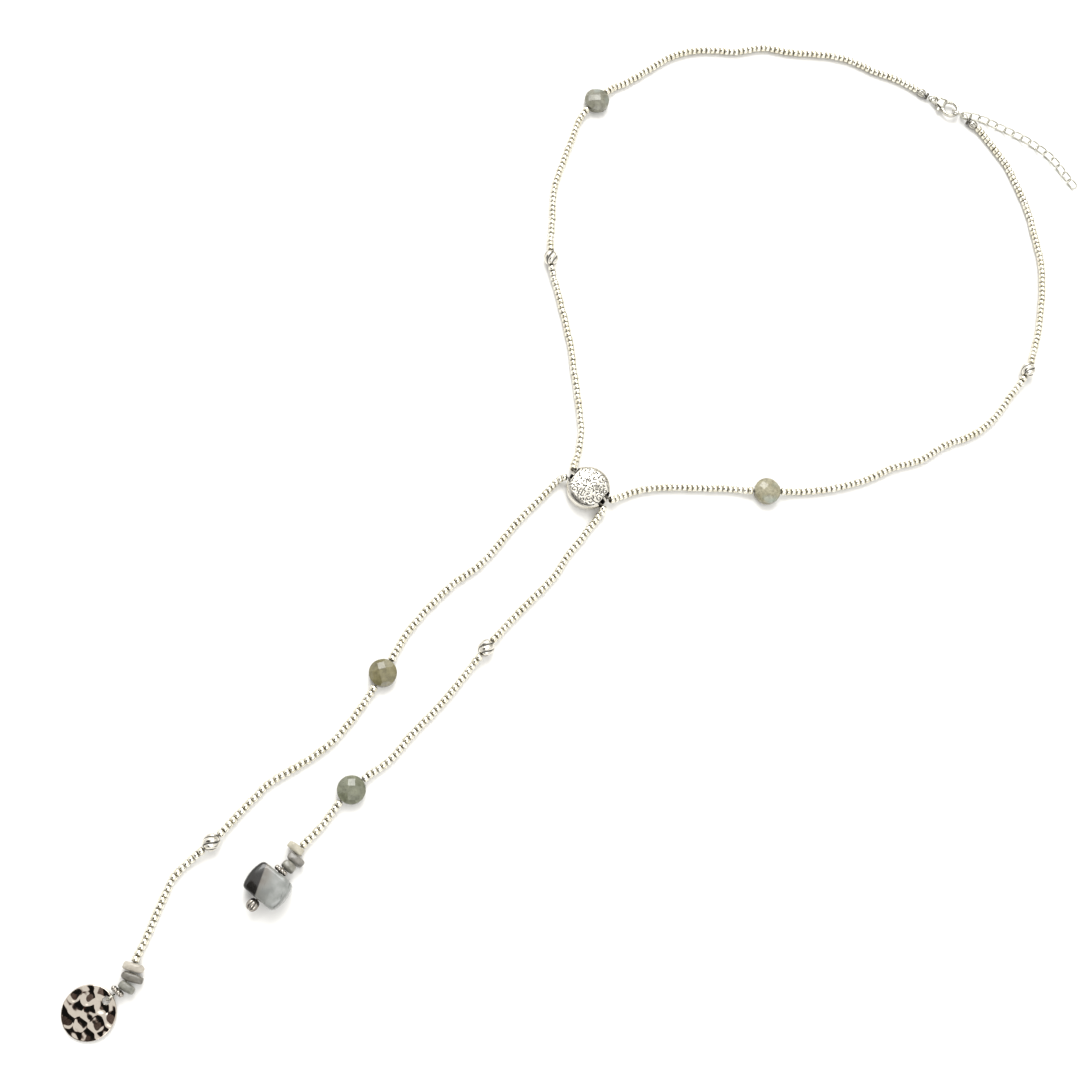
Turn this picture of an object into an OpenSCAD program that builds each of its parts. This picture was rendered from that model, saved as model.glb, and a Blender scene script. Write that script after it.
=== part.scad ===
/* [Seed beads] */
// Diameter of a seed bead
bead_d = 3; // [2.6:0.1:3.2]
// Length of a seed bead along its string
bead_l = 2; // [1.8:0.1:2.2]
// Diameter of the hole through a seed bead
bead_bore_d = 1.4; // [1.2:0.1:1.6]

/* [Thread] */
// Diameter of the beading thread
thread_d = 0.8; // [0.5:0.1:0.9]
// Diameter of the wire-wrapped end loops' section
loop_wire_d = 0.6; // [0.4:0.1:0.7]
// Space inside an end loop, from side to side
loop_inner_w = 2.3; // [2.2:0.1:2.5]

/* [Labradorite coins] */
// Diameter of a faceted coin bead
coin_d = 10; // [8:0.5:12]
// Thickness of a coin bead between its two tables
coin_t = 5; // [4:0.5:6]
// Thickness of a coin bead at its girdle
coin_girdle_t = 1.8; // [1:0.2:2.4]
// Diameter of a coin bead's table
coin_table_d = 4.4; // [3:0.2:5]

/* [Swirl beads] */
// Diameter of a swirl bead
swirl_d = 6; // [5:0.5:7]
// Spiral lobes around a swirl bead
swirl_lobes = 5; // [4:1:6]
// Turn of each lobe from one hole to the other, in degrees
swirl_twist = 110; // [60:10:140]
// Depth of the grooves between the lobes
swirl_groove = 0.5; // [0.3:0.1:0.6]

/* [Slider] */
// Diameter of the slider disc
slider_d = 16.5; // [15:0.5:18]
// Thickness of the slider disc at its middle
slider_t = 6; // [5.5:0.25:7]
// Thickness of the slider disc at its rim
slider_rim_t = 3.8; // [3.6:0.2:4.6]
// Distance between the two string channels
channel_pitch = 3.7; // [3.6:0.1:4]
// Diameter of a string channel
channel_d = 1.8; // [1.6:0.1:2]
// Diameter of the countersunk mouth of a channel
mouth_d = 2.8; // [2.4:0.1:3]
// Depth of the countersunk mouth of a channel
mouth_depth = 1.2; // [0.8:0.2:1.6]
// Height of the cast relief over the dome
relief_h = 0.35; // [0.25:0.05:0.5]
// Scrolls in the ring of relief
scroll_count = 6; // [4:1:7]

/* [Drop ends] */
// Length of a stone chip along its string
chip_l = 2.9; // [2.6:0.1:3.2]
// Longest width of a stone chip
chip_w = 8; // [7:0.5:9]
// Height of a stone chip as it lies
chip_h = 4.6; // [4:0.2:5]
// Diameter of a daisy spacer
spacer_d = 5.2; // [4.6:0.2:5.6]
// Thickness of a daisy spacer
spacer_t = 1.7; // [1.4:0.1:2]
// Petals around a daisy spacer
spacer_petals = 8; // [6:1:10]
// Length of the pillow bead along its string
pillow_l = 11; // [10:0.5:12]
// Width of the pillow bead across its string, at its middle
pillow_w = 15; // [13:0.5:16]
// Height of the pillow bead as it lies
pillow_h = 9; // [8:0.5:10]
// Diameter of the fluted end bead
end_bead_d = 4.2; // [3.6:0.2:5]
// Flutes around the end bead
end_bead_flutes = 8; // [6:1:10]
// Diameter of the hole through the stones, spacers and cast beads
stone_bore_d = 1.2; // [1.1:0.1:1.5]

/* [Pendant] */
// Diameter of the hammered disc
disc_d = 18; // [16:1:20]
// Thickness of the hammered disc
disc_t = 1.3; // [1.1:0.1:1.4]
// Diameter of the hole in the hammered disc
disc_hole_d = 2.7; // [2.4:0.1:3]
// Metal between that hole and the disc's edge
disc_hole_edge = 1; // [0.9:0.1:1.2]
// Depth of a hammer dent
dent_depth = 0.35; // [0.2:0.05:0.45]
// Diameter of a hammer dent
dent_d = 5; // [4:0.25:5.5]

/* [Clasp] */
// Outer diameter of the clasp's hook
hook_d = 7.8; // [7.4:0.2:8.2]
// Width of the hook's bar, seen from above
hook_bar_w = 1.3; // [1.1:0.1:1.4]
// Height of the hook's bar
hook_bar_h = 1.6; // [1.4:0.1:1.7]
// Distance from the eye to the middle of the hook
eye_reach = 7.4; // [7:0.2:7.8]
// Outer diameter of the clasp's eye
eye_d = 3.6; // [3.4:0.1:3.8]
// Diameter of the hole in the clasp's eye
eye_hole_d = 1.9; // [1.8:0.1:2]
// Height of the clasp's housing
housing_h = 2.6; // [2.4:0.1:2.8]
// Thickness of the clasp's lever inside the housing
lever_t = 1; // [0.8:0.1:1.2]
// Diameter of the pin that the lever turns on
pin_d = 0.9; // [0.7:0.1:1]
// Reach of the lever's thumb tab from its pin
tab_reach = 4.4; // [4:0.2:4.8]
// Outer diameter of the jump ring
ring_d = 6; // [5.8:0.1:6.4]
// Diameter of the jump ring's wire
ring_wire_d = 0.8; // [0.6:0.1:0.9]
// Diameter of the small silver beads beside the clasp
collar_bead_d = 3.4; // [3:0.1:3.6]
// Diameter of a crimp
crimp_d = 2.8; // [2.4:0.1:3]
// Length of a crimp
crimp_l = 1.2; // [1:0.1:1.4]

/* [Extender chain] */
// Inner length of a chain link
link_inner_l = 4; // [3.8:0.1:4.2]
// Inner width of a chain link
link_inner_w = 2.2; // [2:0.1:2.4]
// Diameter of a chain link's wire
link_wire_d = 0.6; // [0.5:0.1:0.7]
// Links in the chain
link_count = 15; // [8:1:16]

/* [Hidden] */

// Gap between neighbours on a string
string_gap = 0.25;
// Gap between a strand of seed beads and the coin or swirl bead beside it
strand_gap = 0.35;
// Running clearance of the lever on its pin
pin_clearance = 0.05;
// Clearance beside and past the end of the lever
lever_clearance = 0.15;
// Length over which a string rises from the seed beads to a taller piece
rise = 7;
// Spline pieces between two chosen points
spline_steps = 8;
// Distance between two rings of a bead strand: four beads
ring_step = 4 * bead_l;

bead_z = bead_d / 2;

// Where the slider lies and how far it is turned
slider_at = [22, 2.7];
slider_turn = 9;
// Height of its middle: it rests on the relief under it
slider_z = slider_t / 2 + relief_h;

function turned(v, a) = [v.x * cos(a) - v.y * sin(a), v.x * sin(a) + v.y * cos(a)];

// Half the length of a channel, from one mouth to the other
channel_half = sqrt(pow(slider_d / 2, 2) - pow(channel_pitch / 2, 2));
function mouth(end, side) =
    let (p = slider_at + turned([end * channel_half, side * channel_pitch / 2], slider_turn))
    [p.x, p.y, "mouth"];

// Chosen points of the neck string, from its left end down to the slider and up again:
// [x, y, what sits there]
neck_route = [
    [-14, 233, "end"], [-27, 229, ""], [-38, 223, ""], [-49, 218, ""], [-58, 210, ""],
    [-66, 201, ""], [-75, 193, ""], [-81, 182, ""], [-89, 173, ""], [-95, 162, ""],
    [-97, 150, ""], [-98, 138, ""], [-100, 127, ""], [-99, 119, "coin"], [-98, 109, ""],
    [-93, 100, ""], [-87, 89, ""], [-80, 78, ""], [-71, 69, ""], [-58, 56, "swirl"],
    [-46, 49, ""], [-35, 43, ""], [-25, 37, ""], [-15, 30, ""], [-5, 23, ""], [4, 16, ""],
    [10.2, 7.6, ""], [12, 4.4, ""], mouth(-1, 1), mouth(1, 1), [31.2, 6.8, ""],
    [32, 10, ""], [35, 18, ""], [41, 27, ""],
    [48, 35, ""], [56, 44, ""], [67, 55, "coin"], [78, 69, ""], [84, 79, ""], [89, 90, ""],
    [92, 101, ""], [97, 112, ""], [99, 124, ""], [103, 135, ""], [104, 147, ""],
    [102, 159, ""], [99, 173, "swirl"], [92, 187, ""], [85, 197, ""], [78, 206, ""],
    [70, 214, ""], [60, 221, ""], [51, 227, ""], [40, 232, ""], [30, 236, ""],
    [19, 238, ""], [10, 239, ""], [4, 238, "end"]
];

// Chosen points of the drop string, from the pendant up to the slider and down again
drop_route = [
    [51, -237.8, "end"], [49.9, -231.7, ""], [47, -226, "stack"],
    [42, -216, ""], [37, -207, ""], [33, -197, ""], [33, -183, "swirl"], [31, -168, ""],
    [30, -155, ""], [32, -143, ""], [33, -131, ""], [31, -118, ""], [26, -101, "coin"],
    [20, -84, ""], [18, -72, ""], [17, -60, ""], [18, -48, ""], [16, -35, ""],
    [14, -23, ""], [13, -11, ""], [12, -4, ""], [12.9, -1.3, ""],
    mouth(-1, -1), mouth(1, -1), [31.9, 1.3, ""], [34, -8, ""],
    [36, -19, ""], [39, -30, ""], [40, -41, ""], [41, -52, ""], [43, -67, "swirl"],
    [46, -82, ""], [48, -94, ""], [49, -106, ""], [51, -119, ""], [50, -136, "coin"],
    [53, -151, ""], [54, -161, "stack"], [56.5, -175, ""], [59, -189, "end"]
];

// Catmull-Rom curve through the chosen points
function flat(p) = [p.x, p.y];
function on_curve(r, i, t) =
    let (
        a = flat(r[max(i - 1, 0)]),
        b = flat(r[i]),
        c = flat(r[i + 1]),
        d = flat(r[min(i + 2, len(r) - 1)])
    )
    0.5 * (2 * b + (c - a) * t + (2 * a - 5 * b + 4 * c - d) * t * t
        + (3 * b - a - 3 * c + d) * t * t * t);
function curve(r) = [
    for (i = [0:len(r) - 2], k = [0:spline_steps - 1]) on_curve(r, i, k / spline_steps),
    flat(r[len(r) - 1])
];

// Length along a curve up to each of its points
function lengths(p) = [
    for (i = 0, s = 0; i < len(p);
        s = s + (i + 1 < len(p) ? norm(p[i + 1] - p[i]) : 0), i = i + 1) s
];
function column(s, p, axis) = [for (i = [0:len(p) - 1]) [s[i], p[i][axis]]];

// A measured string: [its x by length, its y by length, lengths at its chosen points]
function measured(r) =
    let (p = curve(r), s = lengths(p))
    [column(s, p, 0), column(s, p, 1), [for (i = [0:len(r) - 1]) s[i * spline_steps]]];
function places(r, what) = [for (i = [0:len(r) - 1]) if (r[i][2] == what) i];

neck = measured(neck_route);
drop = measured(drop_route);
function xy(string, s) = [lookup(s, string[0]), lookup(s, string[1])];
function length_at(string, r, what, n) = string[2][places(r, what)[n]];

neck_coin = [for (n = [0, 1]) length_at(neck, neck_route, "coin", n)];
neck_swirl = [for (n = [0, 1]) length_at(neck, neck_route, "swirl", n)];
neck_mouth = [for (n = [0, 1]) length_at(neck, neck_route, "mouth", n)];
neck_end = length_at(neck, neck_route, "end", 1);
drop_coin = [for (n = [0, 1]) length_at(drop, drop_route, "coin", n)];
drop_swirl = [for (n = [0, 1]) length_at(drop, drop_route, "swirl", n)];
drop_mouth = [for (n = [0, 1]) length_at(drop, drop_route, "mouth", n)];
drop_stack = [for (n = [0, 1]) length_at(drop, drop_route, "stack", n)];

// Lengths of the pieces threaded at the two ends of the neck string, from the outside in
collar_stack = [crimp_l, collar_bead_d];
// Lengths of the pieces at the two ends of the drop string, from the beads outwards
left_stack = [chip_l, chip_l, chip_l, spacer_t];
right_stack = [chip_l, chip_l, chip_l, spacer_t, pillow_l, end_bead_d];
function stack_middle(stack, n) =
    string_gap * (n + 1) + stack[n] / 2 + (n > 0 ? total(stack, n - 1) : 0);
function total(v, n) = v[n] + (n > 0 ? total(v, n - 1) : 0);
function stack_length(stack) =
    total(stack, len(stack) - 1) + string_gap * (len(stack) + 1);

// Heights at which the strings pass through the taller pieces: [middle, half length, height]
neck_rises = [
    for (n = [0:len(collar_stack) - 1], end = [0, 1])
        let (m = stack_middle(collar_stack, n))
        [end == 0 ? m : neck_end - m, collar_stack[n] / 2, collar_bead_d / 2],
    for (s = neck_coin) [s, coin_d / 2, coin_t / 2],
    for (s = neck_swirl) [s, swirl_d / 2, swirl_d / 2],
    [(neck_mouth[0] + neck_mouth[1]) / 2, channel_half, slider_z]
];
left_heights = [chip_h / 2, chip_h / 2, chip_h / 2, spacer_d / 2];
right_heights = [chip_h / 2, chip_h / 2, chip_h / 2, pillow_h / 2, pillow_h / 2, pillow_h / 2];
drop_rises = [
    for (n = [0:len(left_stack) - 1])
        [drop_stack[0] - stack_middle(left_stack, n), left_stack[n] / 2, left_heights[n]],
    for (n = [0:len(right_stack) - 1])
        [drop_stack[1] + stack_middle(right_stack, n), right_stack[n] / 2, right_heights[n]],
    for (s = drop_coin) [s, coin_d / 2, coin_t / 2],
    for (s = drop_swirl) [s, swirl_d / 2, swirl_d / 2],
    [(drop_mouth[0] + drop_mouth[1]) / 2, channel_half, slider_z]
];

// Share of a rise that is left at a distance past the end of a piece
function eased(u) = u <= 0 ? 1 : u >= 1 ? 0 : (1 + cos(180 * u)) / 2;
function height(rises, s) = bead_z + max([
    for (r = rises) (r[2] - bead_z) * eased((abs(s - r[0]) - r[1]) / rise), 0
]);
function at(string, rises, s) =
    let (p = xy(string, s)) [p.x, p.y, height(rises, s)];

// Puts its children at a length on a string, with +X along the string
module threaded(string, rises, s, half) {
    a = at(string, rises, s - half);
    b = at(string, rises, s + half);
    d = b - a;
    translate((a + b) / 2)
        rotate([0, -atan2(d.z, norm([d.x, d.y])), atan2(d.y, d.x)]) children();
}

// Rings of points around a line of points, and the faces between them
function unit(v) = v / norm(v);
function aim(p, i) = unit(p[min(i + 1, len(p) - 1)] - p[max(i - 1, 0)]);
function around(p, i, r, sides) =
    let (t = aim(p, i), u = unit(cross([0, 0, 1], t)), v = cross(t, u))
    [for (k = [0:sides - 1]) p[i] + r * (cos(360 * k / sides) * u + sin(360 * k / sides) * v)];
function skin(rings, sides, base, flip) = [
    for (i = [0:rings - 2], k = [0:sides - 1])
        let (
            a = base + i * sides + k,
            b = base + i * sides + (k + 1) % sides,
            c = b + sides,
            d = a + sides
        )
        flip ? [a, b, c, d] : [d, c, b, a]
];

module rod(p, d, sides) {
    n = len(p);
    polyhedron(
        points = [for (i = [0:n - 1]) each around(p, i, d / 2, sides)],
        faces = concat(
            skin(n, sides, 0, false),
            [[for (k = [0:sides - 1]) k]],
            [[for (k = [sides - 1:-1:0]) (n - 1) * sides + k]]
        ),
        convexity = 20
    );
}

module tube(p, d, bore, sides) {
    n = len(p);
    inner = n * sides;
    polyhedron(
        points = concat(
            [for (i = [0:n - 1]) each around(p, i, d / 2, sides)],
            [for (i = [0:n - 1]) each around(p, i, bore / 2, sides)]
        ),
        faces = concat(
            skin(n, sides, 0, false),
            skin(n, sides, inner, true),
            [for (k = [0:sides - 1]) let (j = (k + 1) % sides) [k, j, inner + j, inner + k]],
            [
                for (k = [0:sides - 1])
                    let (j = (k + 1) % sides, e = (n - 1) * sides)
                    [e + j, e + k, inner + e + k, inner + e + j]
            ]
        ),
        convexity = 20
    );
}

// Even stations along a strand of seed beads
function stations(a, b) =
    let (n = ceil((b - a) / ring_step)) [for (i = [0:n]) a + (b - a) * i / n];

// Ends of each strand of beads, from the first end of its string to the last
slider_gap = 1;
collar_length = stack_length(collar_stack);
coin_half = coin_d / 2 + strand_gap;
swirl_half = swirl_d / 2 + strand_gap;
neck_strands = [
    [collar_length, neck_coin[0] - coin_half],
    [neck_coin[0] + coin_half, neck_swirl[0] - swirl_half],
    [neck_swirl[0] + swirl_half, neck_mouth[0] - slider_gap],
    [neck_mouth[1] + slider_gap, neck_coin[1] - coin_half],
    [neck_coin[1] + coin_half, neck_swirl[1] - swirl_half],
    [neck_swirl[1] + swirl_half, neck_end - collar_length]
];
drop_strands = [
    [drop_stack[0], drop_swirl[0] - swirl_half],
    [drop_swirl[0] + swirl_half, drop_coin[0] - coin_half],
    [drop_coin[0] + coin_half, drop_mouth[0] - slider_gap],
    [drop_mouth[1] + slider_gap, drop_swirl[1] - swirl_half],
    [drop_swirl[1] + swirl_half, drop_coin[1] - coin_half],
    [drop_coin[1] + coin_half, drop_stack[1]]
];

module strand(string, rises, ends) {
    color("#c9c2ae")
        tube([for (s = stations(ends[0], ends[1])) at(string, rises, s)], bead_d, bead_bore_d, 8);
}

// Stations of a thread: those of its strands, and both ends of the pieces past them
neck_stations = [
    crimp_l / 2,
    collar_length - string_gap - collar_bead_d,
    for (e = neck_strands) each stations(e[0], e[1]),
    neck_end - collar_length + string_gap + collar_bead_d,
    neck_end - crimp_l / 2
];
drop_stations = [
    for (n = [len(left_stack) - 1:-1:0])
        each [for (side = [1, -1])
            drop_stack[0] - stack_middle(left_stack, n) - side * left_stack[n] / 2],
    for (n = [0:len(drop_strands) - 1])
        each n == 3
            ? concat(drop_mouth, stations(drop_strands[n][0], drop_strands[n][1]))
            : stations(drop_strands[n][0], drop_strands[n][1]),
    for (n = [0:len(right_stack) - 1])
        each [for (side = [-1, 1])
            drop_stack[1] + stack_middle(right_stack, n) + side * right_stack[n] / 2]
];

module neck_thread() {
    all_stations = [
        for (i = [0:len(neck_stations) - 1])
            each i > 0 && neck_stations[i - 1] < neck_mouth[0] && neck_stations[i] > neck_mouth[0]
                ? [neck_mouth[0], neck_mouth[1], neck_stations[i]]
                : [neck_stations[i]]
    ];
    color("#5a554c")
        rod([for (s = all_stations) at(neck, neck_rises, s)], thread_d, 6);
}

module drop_thread() {
    color("#5a554c")
        rod([for (s = drop_stations) at(drop, drop_rises, s)], thread_d, 6);
}

module bore(d, l) {
    translate([-l, 0, 0]) rotate([0, 90, 0]) cylinder(d = d, h = 2 * l, $fn = 24);
}

// Coin bead: an eight-sided table and crown over a sixteen-sided girdle, alike below
coin_shoulder_share = 0.55;
module coin() {
    color("#8b8c7c") difference() {
        hull() {
            cylinder(d = coin_d, h = coin_girdle_t, center = true, $fn = 16);
            rotate([0, 0, 22.5])
                cylinder(d = (coin_d + coin_table_d) / 2,
                    h = coin_girdle_t + (coin_t - coin_girdle_t) * coin_shoulder_share,
                    center = true, $fn = 8);
            cylinder(d = coin_table_d, h = coin_t, center = true, $fn = 8);
        }
        bore(stone_bore_d, coin_d);
    }
}

// A bead whose section has lobes, turned along its hole by twist degrees
module lobed_bead(d, l, lobes, groove, twist, around_n, along_n) {
    bore_r = stone_bore_d / 2;
    function half_width(u) = bore_r + (d / 2 - bore_r) * sqrt(1 - u * u);
    function lobe(a, u) = groove * (1 - u * u) * (1 - abs(cos(lobes * (a - twist * u / 2) / 2)));
    color("#b9b6ae") polyhedron(
        points = [
            for (i = [0:along_n], k = [0:around_n - 1])
                let (
                    u = -cos(180 * i / along_n),
                    a = 360 * k / around_n,
                    w = half_width(u) - lobe(a, u)
                )
                [u * l / 2, w * cos(a), w * sin(a)]
        ],
        faces = concat(
            skin(along_n + 1, around_n, 0, false),
            [
                for (k = [0:around_n - 1])
                    let (j = (k + 1) % around_n, e = along_n * around_n)
                    [k, j, e + j, e + k]
            ]
        ),
        convexity = 6
    );
}

module swirl() {
    lobed_bead(swirl_d, swirl_d, swirl_lobes, swirl_groove, swirl_twist, 20, 10);
}

module neck_coin_bead(n) {
    threaded(neck, neck_rises, neck_coin[n], coin_d / 2) coin();
}

module neck_swirl_bead(n) {
    threaded(neck, neck_rises, neck_swirl[n], swirl_d / 2) swirl();
}

module drop_coin_bead(n) {
    threaded(drop, drop_rises, drop_coin[n], coin_d / 2) coin();
}

module drop_swirl_bead(n) {
    threaded(drop, drop_rises, drop_swirl[n], swirl_d / 2) swirl();
}

// Slider: a domed disc with two channels, a plain rim and raised scrolls
dome_h = (slider_t - slider_rim_t) / 2;
dome_r = (pow(slider_d / 2, 2) + dome_h * dome_h) / (2 * dome_h);
function dome_z(r) = slider_t / 2 - dome_r + sqrt(dome_r * dome_r - r * r);

module dome_blank() {
    intersection() {
        cylinder(d = slider_d, h = slider_t, center = true, $fn = 96);
        translate([0, 0, slider_t / 2 - dome_r]) sphere(r = dome_r, $fn = 96);
        translate([0, 0, dome_r - slider_t / 2]) sphere(r = dome_r, $fn = 96);
    }
}

// Where each outer scroll starts, turned from the line to the middle
scroll_start = 40;
module scroll(r, size, start) {
    slope = asin(r / dome_r);
    translate([r, 0, dome_z(r)]) rotate([0, slope, 0]) rotate([0, 0, start])
        rotate_extrude(angle = 230, $fn = 32) translate([size, 0]) circle(r = relief_h, $fn = 16);
}

module slider_disc() {
    color("#a9a59b") translate([slider_at.x, slider_at.y, slider_z])
        rotate([0, 0, slider_turn]) difference() {
            union() {
                dome_blank();
                for (face = [0, 180]) rotate([face, 0, 0]) {
                    for (k = [0:scroll_count - 1])
                        rotate([0, 0, 360 * (k + 0.5) / scroll_count])
                            scroll(slider_d * 0.3, slider_d * 0.085, scroll_start);
                    scroll(0, slider_d * 0.1, 0);
                }
            }
            for (side = [-1, 1]) translate([0, side * channel_pitch / 2, 0]) {
                bore(channel_d, slider_d);
                for (end = [-1, 1]) translate([end * (channel_half + 2 * mouth_depth), 0, 0]) {
                    bore(mouth_d, 3 * mouth_depth);
                    translate([0, 0, slider_t / 2])
                        cube([6 * mouth_depth, mouth_d, slider_t], center = true);
                }
            }
        }
}

// Stone chips: rounded lumps, each row a chip:
// [share of length, share of width, share of height, offset across, turn, colour]
chip_shapes = [
    [1, 0.96, 1, -0.06, 4, "#c9c3b6"],
    [1, 1, 0.9, -0.18, 4, "#77756c"],
    [1, 0.78, 0.84, -0.2, 4, "#86897c"],
    [1, 0.82, 1, -0.14, 3, "#bdb9aa"],
    [1, 0.84, 0.92, 0.18, 3, "#7a7871"],
    [1, 0.66, 0.84, 0.14, 3, "#97968a"]
];

module chip(n) {
    row = chip_shapes[n];
    l = chip_l * row[0];
    w = chip_w * row[1];
    h = chip_h * row[2];
    color(row[5]) difference() {
        rotate([0, 0, row[4]]) translate([0, chip_w * row[3], 0]) hull() {
            resize([l, w * 0.72, h]) sphere(d = h, $fn = 10);
            translate([0, w * 0.24, -h * 0.06])
                resize([l * 0.96, w * 0.52, h * 0.84]) sphere(d = h, $fn = 8);
            translate([0, -w * 0.22, h * 0.05])
                resize([l * 0.92, w * 0.56, h * 0.76]) sphere(d = h, $fn = 8);
        }
        bore(stone_bore_d, chip_l);
    }
}

module chip_left(n) {
    threaded(drop, drop_rises, drop_stack[0] - stack_middle(left_stack, n), chip_l / 2) chip(n);
}

module chip_right(n) {
    threaded(drop, drop_rises, drop_stack[1] + stack_middle(right_stack, n), chip_l / 2) chip(n + 3);
}

module spacer(s) {
    threaded(drop, drop_rises, s, spacer_t / 2)
        lobed_bead(spacer_d, spacer_t, spacer_petals, spacer_d * 0.11, 0, 24, 6);
}

// Pillow bead: rounded rectangles along its string, narrower towards its two nearly flat ends
pillow_power = 0.36;
pillow_taper = 0.15;
pillow_rows = [-0.98, -0.9, -0.7, -0.35, 0, 0.35, 0.7, 0.9, 0.98];
pillow_end_power = 12;
function bulge(v) = sign(v) * pow(abs(v), pillow_power);
function pillow_share(u) =
    (1 - pillow_taper * u * u) * pow(1 - pow(abs(u), pillow_end_power), 1 / pillow_end_power);
module pillow_bead() {
    turns = 24;
    rows = len(pillow_rows);
    threaded(drop, drop_rises, drop_stack[1] + stack_middle(right_stack, 4), pillow_l / 2)
        color("#b3b5b3") difference() {
            polyhedron(
                points = [
                    for (u = pillow_rows, k = [0:turns - 1])
                        let (share = pillow_share(u), a = 360 * k / turns)
                        [
                            u * pillow_l / 2,
                            pillow_w / 2 * share * bulge(cos(a)),
                            pillow_h / 2 * share * bulge(sin(a))
                        ],
                    [-pillow_l / 2, 0, 0],
                    [pillow_l / 2, 0, 0]
                ],
                faces = concat(
                    skin(rows, turns, 0, false),
                    [for (k = [0:turns - 1]) [k, (k + 1) % turns, rows * turns]],
                    [
                        for (k = [0:turns - 1])
                            let (e = (rows - 1) * turns)
                            [e + (k + 1) % turns, e + k, rows * turns + 1]
                    ]
                )
            );
            bore(stone_bore_d, pillow_l);
        }
}

module end_bead() {
    threaded(drop, drop_rises, drop_stack[1] + stack_middle(right_stack, 5), end_bead_d / 2)
        lobed_bead(end_bead_d, end_bead_d, end_bead_flutes, end_bead_d * 0.07, 0, 24, 8);
}

// Oval loop of round wire in the XY plane, length along X
module oval(inner_l, inner_w, wire_d, turns, sides) {
    bend_r = (inner_w + wire_d) / 2;
    straight = max(0, inner_l - inner_w) / 2;
    polyhedron(
        points = [
            for (i = [0:turns - 1], k = [0:sides - 1])
                let (
                    a = 360 * (i + 0.5) / turns,
                    b = 360 * k / sides,
                    r = bend_r + wire_d / 2 * cos(b)
                )
                [sign(cos(a)) * straight + r * cos(a), r * sin(a), wire_d / 2 * sin(b)]
        ],
        faces = [
            for (i = [0:turns - 1], k = [0:sides - 1])
                let (j = (i + 1) % turns, m = (k + 1) % sides)
                [i * sides + k, j * sides + k, j * sides + m, i * sides + m]
        ],
        convexity = 4
    );
}

// Hammered disc: it leans on its loop, with dents given as [share of radius, angle, share of depth]
dents = [
    [0.05, 0, 1], [0.5, 20, 0.9], [0.52, 95, 1], [0.5, 168, 0.8], [0.5, 240, 1], [0.48, 312, 0.9],
    [0.82, 55, 0.8], [0.84, 128, 1], [0.8, 205, 0.9], [0.84, 275, 0.8], [0.82, 345, 1]
];
disc_hole_at = disc_d / 2 - disc_hole_edge - disc_hole_d / 2;
pendant_turn = 84.5;
// Play between the disc's edge and the near end of its loop
edge_play = 0.42;
// Play of a loop on what it holds
loop_gap = 0.15;
loop_width = loop_inner_w + 2 * loop_wire_d;
pendant_loop_l = loop_inner_w;
disc_edge_reach = loop_wire_d + edge_play;
hole_z = loop_width / 2;
disc_lean = asin((hole_z - disc_t / 2) / disc_d);
left_end = drop_stack[0] - stack_length(left_stack);
pendant_start = at(drop, drop_rises, left_end);
dent_ball_r = (dent_d * dent_d / 4 + dent_depth * dent_depth) / (2 * dent_depth);

module pendant_axes() {
    translate([pendant_start.x, pendant_start.y, 0]) rotate([0, 0, pendant_turn - 180]) children();
}

module pendant_loop() {
    color("#5a554c") pendant_axes()
        translate([pendant_loop_l / 2 + loop_wire_d, 0, loop_width / 2]) rotate([90, 0, 0])
            oval(pendant_loop_l, loop_inner_w, loop_wire_d, 12, 6);
}

module hammered_disc() {
    color("#4a4543") pendant_axes()
        translate([disc_edge_reach, 0, hole_z]) rotate([0, disc_lean, 0])
            translate([disc_d / 2, 0, 0]) difference() {
                cylinder(d = disc_d, h = disc_t, center = true, $fn = 96);
                translate([-disc_hole_at, 0, 0])
                    cylinder(d = disc_hole_d, h = 2 * disc_t, center = true, $fn = 32);
                for (row = dents, face = [1, -1]) rotate([0, 0, row[1] + (face < 0 ? 30 : 0)])
                    if (face > 0 || row[0] < 0.7)
                        translate([row[0] * disc_d / 2, 0,
                            face * (disc_t / 2 + dent_ball_r - dent_depth * row[2])])
                            sphere(r = dent_ball_r, $fn = 64);
            }
}

module collar_bead(s) {
    threaded(neck, neck_rises, s, collar_bead_d / 2)
        lobed_bead(collar_bead_d, collar_bead_d, end_bead_flutes, collar_bead_d * 0.05, 0, 24, 6);
}

module crimp(s) {
    threaded(neck, neck_rises, s, crimp_l / 2)
        color("#3f3d3a") difference() {
            rotate([0, 90, 0]) cylinder(d = crimp_d, h = crimp_l, center = true, $fn = 32);
            bore(stone_bore_d, crimp_l);
        }
}

// The jump ring leans on the surface, rolled about the line from the hook to its far end
ring_roll = -48;
ring_r = (ring_d - ring_wire_d) / 2;
ring_z = ring_r * sin(abs(ring_roll)) + ring_wire_d / 2;

// Clasp frame: +X from the eye to the nose, origin in the middle of the hook
hook_at = [-4, 236];
clasp_turn = 14;

nose_z = ring_z;
eye_z = loop_width / 2;
clasp_pitch = asin((nose_z - eye_z) / (eye_reach + hook_d / 2));
hook_z = eye_z + eye_reach * sin(clasp_pitch);
hook_inner_r = hook_d / 2 - hook_bar_w;
// Metal around the lever's pin, in the lever and between the pin and the hook
boss_wall = 0.8;
boss_r = pin_d / 2 + boss_wall;
pin_at = [-hook_inner_r - boss_r, 0];
// Housing behind and in front of the pin
housing_back = 2.2;
housing_front = boss_r;
// The seam between the lever's tip and the hook lies just behind the top of the hook
seam_back = 0.5;
seam_r = norm([-seam_back, hook_d / 2 - hook_bar_w / 2] - pin_at);
// Thumb tab: its width at the tip, and how far its tip leans forwards
tab_w = 1.2;
tab_lean = 0.3;

module clasp_axes() {
    translate([hook_at.x, hook_at.y, hook_z]) rotate([0, -clasp_pitch, clasp_turn]) children();
}

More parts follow.
